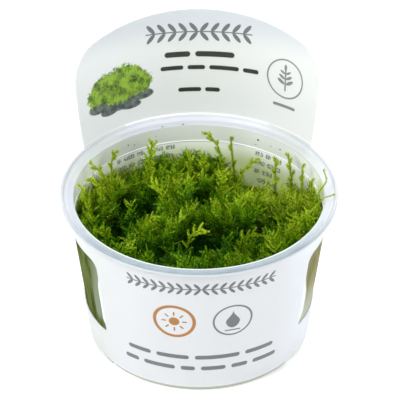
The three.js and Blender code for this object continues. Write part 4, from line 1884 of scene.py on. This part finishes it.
@dataclass(frozen=True)
class WallLayer:
    """The fronds that lie flat against the wall: age and tone are a middle and a spread, the rest ranges."""

    fronds: int = 330
    bearings: Pair = (46.0, 128.0)
    heights: Pair = (7 * MM, 44 * MM)
    inset: float = 1.0 * MM
    tilt: float = 0.9
    scale: Pair = (0.6, 0.95)
    age: Pair = (0.22, 0.2)
    oldest: float = 0.8
    tone: Pair = (0.16, 0.09)


@dataclass(frozen=True)
class MossCore:
    """The tangle under the fronds, its top painted dark as shade: a pair is a middle and a spread, for
    inward a least and a spread.
    """

    depth: float = 7 * MM
    wall_top: float = 36 * MM
    lowest: float = 25.2 * MM
    above_floor: float = 0.3 * MM
    foot_steps: int = 8
    wall_steps: int = 24
    top_steps: int = 26
    segments: int = 150
    crease: float = 60.0
    bumps: float = 0.55 * MM
    inward: Pair = (0.8 * MM, 0.5 * MM)
    top_shade_tone: float = 0.02
    wall_tone: Pair = (0.3, 0.1)
    wall_age: Pair = (0.2, 0.16)


@dataclass
class MossBed:
    """The tangle that fills the cup: a core with its top painted dark as shade, tuft on tuft of small
    fronds, and shoots.
    """

    cup: Cup
    clearance: float = 0.35 * MM
    over_wall: float = 1.5 * MM
    edge: float = 1.2 * MM
    crowded: float = 9 * MM
    facing: tuple[float, float, float] = (0.0, -0.4, 1.0)
    tuft_spacing: float = 8.5 * MM
    tuft_radius: float = 6.5 * MM
    tuft_tries: int = 4000
    tuft_lean: float = 0.26
    tuft_tone: float = 0.11
    tuft_rise: float = 1.1 * MM
    tuft_oldest: float = 0.55
    frond_scale: Pair = (0.75, 1.12)
    frond_sway: float = 0.25
    frond_tone: float = 0.06
    frond_oldest: float = 0.75
    frond_rise: float = 4.5 * MM
    rise_lost_behind: float = 2.5 * MM
    lighter: float = 0.02
    browned_age: float = 0.5
    browned_shade: float = 0.16
    hollow_thins: float = 0.24
    # Painted shade on the moss: the tone falls with depth below the mound, and more in and around the
    # hollows, which are widened for it.
    depth_shade: float = 0.06
    deepest: float = 12.0
    highest: float = 5.0
    hollow_widen: float = 1.25
    young_hollow: float = 5.0
    sectors: int = 6
    seed: int = 7
    shoot_seed: int = 500
    shoot_root: float = 3.5 * MM

    def mound(self, places: Array) -> Array:
        """Height of the moss's surface without its hollows, in metres."""
        return moss_mound(places[:, 0] / MM, places[:, 1] / MM, self.cup.opening_radius / MM) * MM

    def surface(self, places: Array) -> Array:
        """Height of the moss's surface in metres."""
        return self.mound(places) - spread_of(HOLLOWS, places) * MM

    def room(self, height: Array) -> Array:
        """How far out the moss may reach at a height."""
        below = np.minimum(self.cup.inside(height), self.cup.opening_radius) - self.clearance
        return np.where(height > self.cup.rim_height + 0.3 * MM, self.cup.rim_radius, below)

    def press_in(self, points: Array) -> Array:
        """Presses points that would pass through the cup back against its wall and floor.

        Args:
            points: The points.

        Returns:
            The pressed points.
        """
        radius = np.hypot(points[:, 0], points[:, 1])
        share = np.minimum(1.0, self.room(points[:, 2]) / np.maximum(radius, MM))
        pressed = points * np.stack([share, share, np.ones(len(share))], 1)
        pressed[:, 2] = np.maximum(pressed[:, 2], self.cup.floor + self.clearance)
        return pressed

    def build_core(self, core: MossCore, finish: MossLeaves) -> None:
        """Makes the tangle under the fronds, which fills the cup to its wall, with its top painted dark as
        shade.

        Args:
            core: Its sizes.
            finish: Its leaves.
        """
        bend, wall_top, bottom = self.cup.floor_bend, core.wall_top, self.cup.floor + core.above_floor
        foot = self.cup.inside(bottom) - bend - self.clearance
        outline = [(foot * step / core.foot_steps, bottom) for step in range(core.foot_steps + 1)]
        for step in range(1, core.wall_steps + 1):
            height = bottom + bend + (wall_top - bottom) * step / core.wall_steps
            outline.append((self.cup.inside(height) - self.clearance, height))
        edge = outline[-1][0]
        inward = [1 - step / core.top_steps for step in range(1, core.top_steps + 1)]
        outline += [(edge * share, wall_top + bend) for share in inward]
        piece = Bench.spin_outline("moss_core", outline, core.segments)
        mesh = piece.data
        count = len(mesh.vertices)
        places = np.empty(3 * count, dtype=np.float32)
        mesh.vertices.foreach_get("co", places)
        places = places.reshape(-1, 3).astype(float)
        draw = np.random.default_rng(self.seed)
        radius = np.hypot(places[:, 0], places[:, 1])
        top = places[:, 2] > wall_top - 0.1 * MM
        ground = np.maximum(self.surface(places) - core.depth, core.lowest)
        places[top, 2] = (ground + draw.normal(0.0, core.bumps, count))[top]
        wall = ~top & (places[:, 2] > bottom + 0.5 * MM)
        inset, uneven = core.inward
        inset = inset + np.abs(draw.normal(0.0, uneven, count))
        places[wall, :2] *= (1 - inset / np.maximum(radius, MM))[wall, None]
        mesh.vertices.foreach_set("co", places.astype(np.float32).ravel())
        # Painted shade: the core's top under the fronds is nearly black; its side against the wall keeps the
        # moss's own tones.
        tone = np.where(top, core.top_shade_tone, draw.normal(*core.wall_tone, count))
        age = np.where(top, 0.0, np.clip(draw.normal(*core.wall_age, count), 0, 1))
        carry(mesh, tone, age)
        mesh.update()
        Bench.smooth(piece, core.crease)
        mesh.materials.append(finish.material())
        Bench.deliver(piece, Slot.CUSHION, "moss_cushion")

    def kit(self, layer: FrondLayer) -> list[LeafMesh]:
        """Grows the few fronds that a layer is laid with, each bent and branched its own way.

        Args:
            layer: The layer.

        Returns:
            The fronds.
        """
        fronds = []
        shares = np.linspace(0.0, 1.0, 6)
        for number in range(layer.templates):
            maker = SprigMaker(100 * layer.seed + number)
            droop = maker.draw.uniform(*layer.droop)
            sway = maker.draw.uniform(-self.frond_sway, self.frond_sway)
            path = np.stack([sway * shares**2, shares, droop * shares**2], 1) * layer.length
            length = maker.draw.uniform(*layer.branch_length)
            shape = SprigShape(branches=layer.branches, branch_length=length)
            fronds.append(maker.sprig(path, np.array([1.0, 0.0, 0.0]), shape, layer.tones))
        return fronds

    def tufts(self) -> dict[str, Array]:
        """Scatters the middles of the tufts evenly and draws each one's lean and colour.

        Returns:
            Centres, leans, tones, ages and rises.
        """
        draw = np.random.default_rng(self.seed + 1)
        centres: list[Array] = []
        for _ in range(self.tuft_tries):
            place = draw.uniform(-1, 1, 2) * self.cup.opening_radius
            if np.hypot(*place) > self.cup.opening_radius - 2 * MM:
                continue
            if all(np.hypot(*(place - other)) > self.tuft_spacing for other in centres):
                centres.append(place)
        count = len(centres)
        return {
            "centre": np.array(centres),
            "lean": draw.normal(0.0, self.tuft_lean, (count, 2)),
            "tone": draw.normal(0.0, self.tuft_tone, count),
            "age": np.clip(draw.normal(-0.03, 0.18, count), 0, self.tuft_oldest),
            "rise": draw.normal(0.0, self.tuft_rise, count),
        }

    def places(self, layer: FrondLayer) -> dict[str, Array]:
        """Draws where a layer's fronds are rooted and how they lean, and keeps those that fit.

        Args:
            layer: The layer to lay.

        Returns:
            Roots, turns, scales, ages and tones.
        """
        draw = np.random.default_rng(layer.seed)
        tufts = self.tufts()
        count, opening = layer.fronds * 5, self.cup.opening_radius
        radius = np.sqrt(draw.uniform(0, 1, count)) * (opening - self.edge)
        angle = draw.uniform(0, 2 * math.pi, count)
        ground = np.stack([radius * np.cos(angle), radius * np.sin(angle)], 1)
        away = ground[:, None, :] - tufts["centre"][None, :, :]
        nearest = np.argmin(np.linalg.norm(away, axis=2), 1)
        own = {name: values[nearest] for name, values in tufts.items()}
        scale = draw.uniform(*self.frond_scale, count)
        level = self.surface(ground) + own["rise"]
        root = np.concatenate([ground, (level - draw.uniform(*layer.depth, count))[:, None]], 1)
        spread = layer.lean * (ground - own["centre"]) / self.tuft_radius + own["lean"]
        spread = spread + draw.normal(0.0, layer.unruly, (count, 2))
        outward = ground / np.maximum(radius, MM)[:, None]
        crowd = smoothstep(opening - self.crowded, opening, radius)
        push = np.maximum(np.sum(spread * outward, 1), 0.0) * crowd
        ahead = unit(np.concatenate([spread - outward * push[:, None], np.ones((count, 1))], 1))
        facing = np.array(self.facing) + draw.normal(0.0, layer.unruly, (count, 3))
        normal = unit(facing - ahead * np.sum(facing * ahead, 1, keepdims=True))
        tip = root + ahead * (layer.length * scale)[:, None]
        fits = np.hypot(tip[:, 0], tip[:, 1]) < self.room(tip[:, 2]) + self.over_wall
        rise = self.frond_rise - self.rise_lost_behind * smoothstep(8 * MM, 36 * MM, tip[:, 1])
        fits &= tip[:, 2] - self.mound(tip) < rise
        hollow = np.maximum(spread_of(HOLLOWS, tip), spread_of(HOLLOWS, (root + 2 * tip) / 3))
        fits &= draw.uniform(0, 1, count) > self.hollow_thins * hollow
        chosen = np.flatnonzero(fits)[: layer.fronds]
        LOG.info("moss: %d tufts, %d of %d frond places fit", len(tufts["tone"]), fits.sum(), count)
        browned = spread_of(OLD_PATCHES, ground)
        age = own["age"] + draw.normal(-0.12, 0.18, count) + self.browned_age * browned
        age = np.clip(age + 0.1 * smoothstep(5 * MM, 30 * MM, ground[:, 0]), 0, self.frond_oldest)
        tone = own["tone"] + draw.normal(self.lighter, self.frond_tone, count) - self.browned_shade * browned
        # Painted light and shade across the cup, from the table of light and shade.
        for gain, way, low, high in LIGHT:
            tone = tone + gain * smoothstep(low, high, ground @ np.array(way))
        turn = np.stack([np.cross(ahead, normal), ahead, normal], 2)
        found = {"root": root, "turn": turn, "scale": scale, "age": age, "tone": tone}
        return {name: values[chosen] for name, values in found.items()}

    def wall_places(self, layer: WallLayer) -> dict[str, Array]:
        """Draws where fronds lie flat against the wall, as they show through it.

        Args:
            layer: The layer to lay.

        Returns:
            Roots, turns, scales, ages and tones.
        """
        draw = np.random.default_rng(self.seed + 2)
        count = layer.fronds
        hand = np.where(draw.uniform(0, 1, count) < 0.5, -1.0, 1.0)
        bearing = np.radians(draw.uniform(*layer.bearings, count)) * hand
        height = draw.uniform(*layer.heights, count)
        radius = self.cup.inside(height) - layer.inset
        outward = np.stack([np.sin(bearing), -np.cos(bearing), np.zeros(count)], 1)
        along = np.stack([np.cos(bearing), np.sin(bearing), np.zeros(count)], 1)
        tilt = draw.normal(0.0, layer.tilt, (count, 1))
        up = np.array([0.0, 0.0, 1.0])
        ahead = unit((up + outward * self.cup.wall_slope) * np.cos(tilt) + along * np.sin(tilt))
        normal = unit(outward - ahead * np.sum(outward * ahead, 1, keepdims=True))
        return {
            "root": outward * radius[:, None] + up * height[:, None],
            "turn": np.stack([np.cross(ahead, normal), ahead, normal], 2),
            "scale": draw.uniform(*layer.scale, count),
            "age": np.clip(draw.normal(*layer.age, count), 0, layer.oldest),
            "tone": draw.normal(*layer.tone, count),
        }

    def lay(self, kit: list[LeafMesh], spots: dict[str, Array], depth_shade: float) -> list[LeafMesh]:
        """Args:
            kit: The fronds to copy.
            spots: Roots, turns, scales, ages and tones.
            depth_shade: How fast the tone falls with depth, per millimetre.

        Returns:
            The laid fronds.
        """
        laid = []
        for number in range(len(spots["scale"])):
            frond = kit[number % len(kit)]
            spot = {name: values[number] for name, values in spots.items()}
            points = self.press_in((frond.points * spot["scale"]) @ spot["turn"].T + spot["root"])
            # Painted shade: the tone falls with depth below the mound, and more in and around the hollows.
            depth = (points[:, 2] - self.mound(points)) / MM
            hollow = spread_of(HOLLOWS, points, self.hollow_widen)
            tone = frond.tone + spot["tone"]
            tone = tone + depth_shade * np.clip(depth - hollow, -self.deepest, self.highest)
            age = spot["age"] * np.clip(1 - hollow / self.young_hollow, 0, 1)
            laid.append(LeafMesh(points, frond.triangles, np.clip(tone, 0, 1), age))
        return laid

    def build(self, finish: MossLeaves) -> None:
        """Lays the fronds and joins them into one piece for each sector of the cup.

        Args:
            finish: Their leaves.
        """
        laid: list[LeafMesh] = []
        bearings = []
        for layer in (UNDERSTOREY, TOPS):
            spots = self.places(layer)
            laid += self.lay(self.kit(layer), spots, self.depth_shade)
            bearings.append(np.arctan2(spots["root"][:, 1], spots["root"][:, 0]))
        turn = (np.concatenate(bearings) + math.pi) / (2 * math.pi)
        sector = (turn * self.sectors).astype(int) % self.sectors
        groups = {
            f"moss_tangle_{number + 1}": [frond for frond, place in zip(laid, sector) if place == number]
            for number in range(self.sectors)
        }
        groups["moss_at_wall"] = self.lay(self.kit(UNDERSTOREY), self.wall_places(WallLayer()), 0.0)
        material = finish.material()
        for name, fronds in groups.items():
            Bench.deliver(LeafMesh.join(fronds).piece(name, material), Slot.CUSHION, "moss_cushion")

    def shoots(self, finish: MossLeaves) -> None:
        """Grows the shoots along their own stems, rooted in the tangle.

        Args:
            finish: Their leaves.
        """
        material = finish.material()
        for seed, shoot in enumerate(SHOOTS, self.shoot_seed):
            foot = np.array([*shoot.foot, 0.0]) * MM
            foot[2] = self.surface(foot[None])[0] - self.shoot_root
            path = smooth_path(np.array([foot] + [np.array(stop) * MM for stop in shoot.stem]), 18)
            face = math.radians(shoot.face)
            facing = np.array([math.sin(face), -math.cos(face), 0.35])
            side = unit(np.cross(unit(path[-1] - path[0]), facing))
            length = shoot.branch_length * MM
            shape = replace(SHOOT_SHAPES[shoot.kind], branches=shoot.branches, branch_length=length)
            grown = SprigMaker(seed).sprig(path, side, shape, SHOOT_TONES[shoot.kind])
            grown.age[:] = 0.12 * float(smoothstep(0, 35, shoot.foot[0]))
            grown.points = self.press_in(grown.points)
            Bench.deliver(grown.piece(f"sprig_{shoot.name}", material), Slot.SHOOT, f"shoot_{shoot.name}")

    def crumbs(self, finish: CrumbDirt) -> None:
        """Sticks the few dark crumbs on the wall and the edge of the opening.

        Args:
            finish: Their material and form.
        """
        draw = np.random.default_rng(self.seed + 3)
        turns = np.linspace(0, 2 * math.pi, 7)[:-1]
        triangles = [(0, 1 + n, 1 + (n + 1) % 6) for n in range(6)]
        triangles += [(7, 1 + (n + 1) % 6, 1 + n) for n in range(6)]
        up = np.array([0.0, 0.0, 1.0])
        parts = []
        for bearing, height, size in CRUMBS:
            angle = math.radians(bearing)
            outward = np.array([math.sin(angle), -math.cos(angle), 0.0])
            along = np.array([math.cos(angle), math.sin(angle), 0.0])
            on_edge = height * MM > self.cup.opening_height
            facing = up if on_edge else -outward
            radius = self.cup.opening_radius + (finish.on_edge if on_edge else 0.0)
            middle = outward * radius + up * height * MM
            lumps = draw.uniform(*finish.uneven, (6, 1)) * size * MM
            above = np.cross(facing, along)
            round_it = along * np.cos(turns)[:, None] * finish.stretch + above * np.sin(turns)[:, None]
            top = middle + facing * finish.stands * size * MM
            foot = middle - facing * finish.sinks * size * MM
            points = np.concatenate([[top], middle + round_it * lumps, [foot]])
            parts.append(LeafMesh(points, np.array(triangles), np.zeros(8), np.zeros(8)))
        piece = LeafMesh.join(parts).piece("moss_crumbs", finish.material())
        Bench.deliver(piece, Slot.CUSHION, "moss_cushion")


def main() -> None:
    """Builds the scene in order and reports each piece."""
    logging.basicConfig(level=logging.INFO, format="%(name)s %(message)s")
    StudioView().build()
    Studio().build()
    cup = Cup()
    shop = PrintShop()
    cup.build(shop, CupPlastic(), MilkyRim(), MossyWall())
    Sleeve(cup).build(shop, SleeveFilm())
    bed = MossBed(cup)
    bed.build_core(MossCore(), MossLeaves("moss_tangle_deep"))
    bed.build(MossLeaves("moss_tangle_leaves"))
    bed.shoots(SHOOT_LEAVES)
    bed.crumbs(CrumbDirt())


if __name__ == "__main__":
    main()
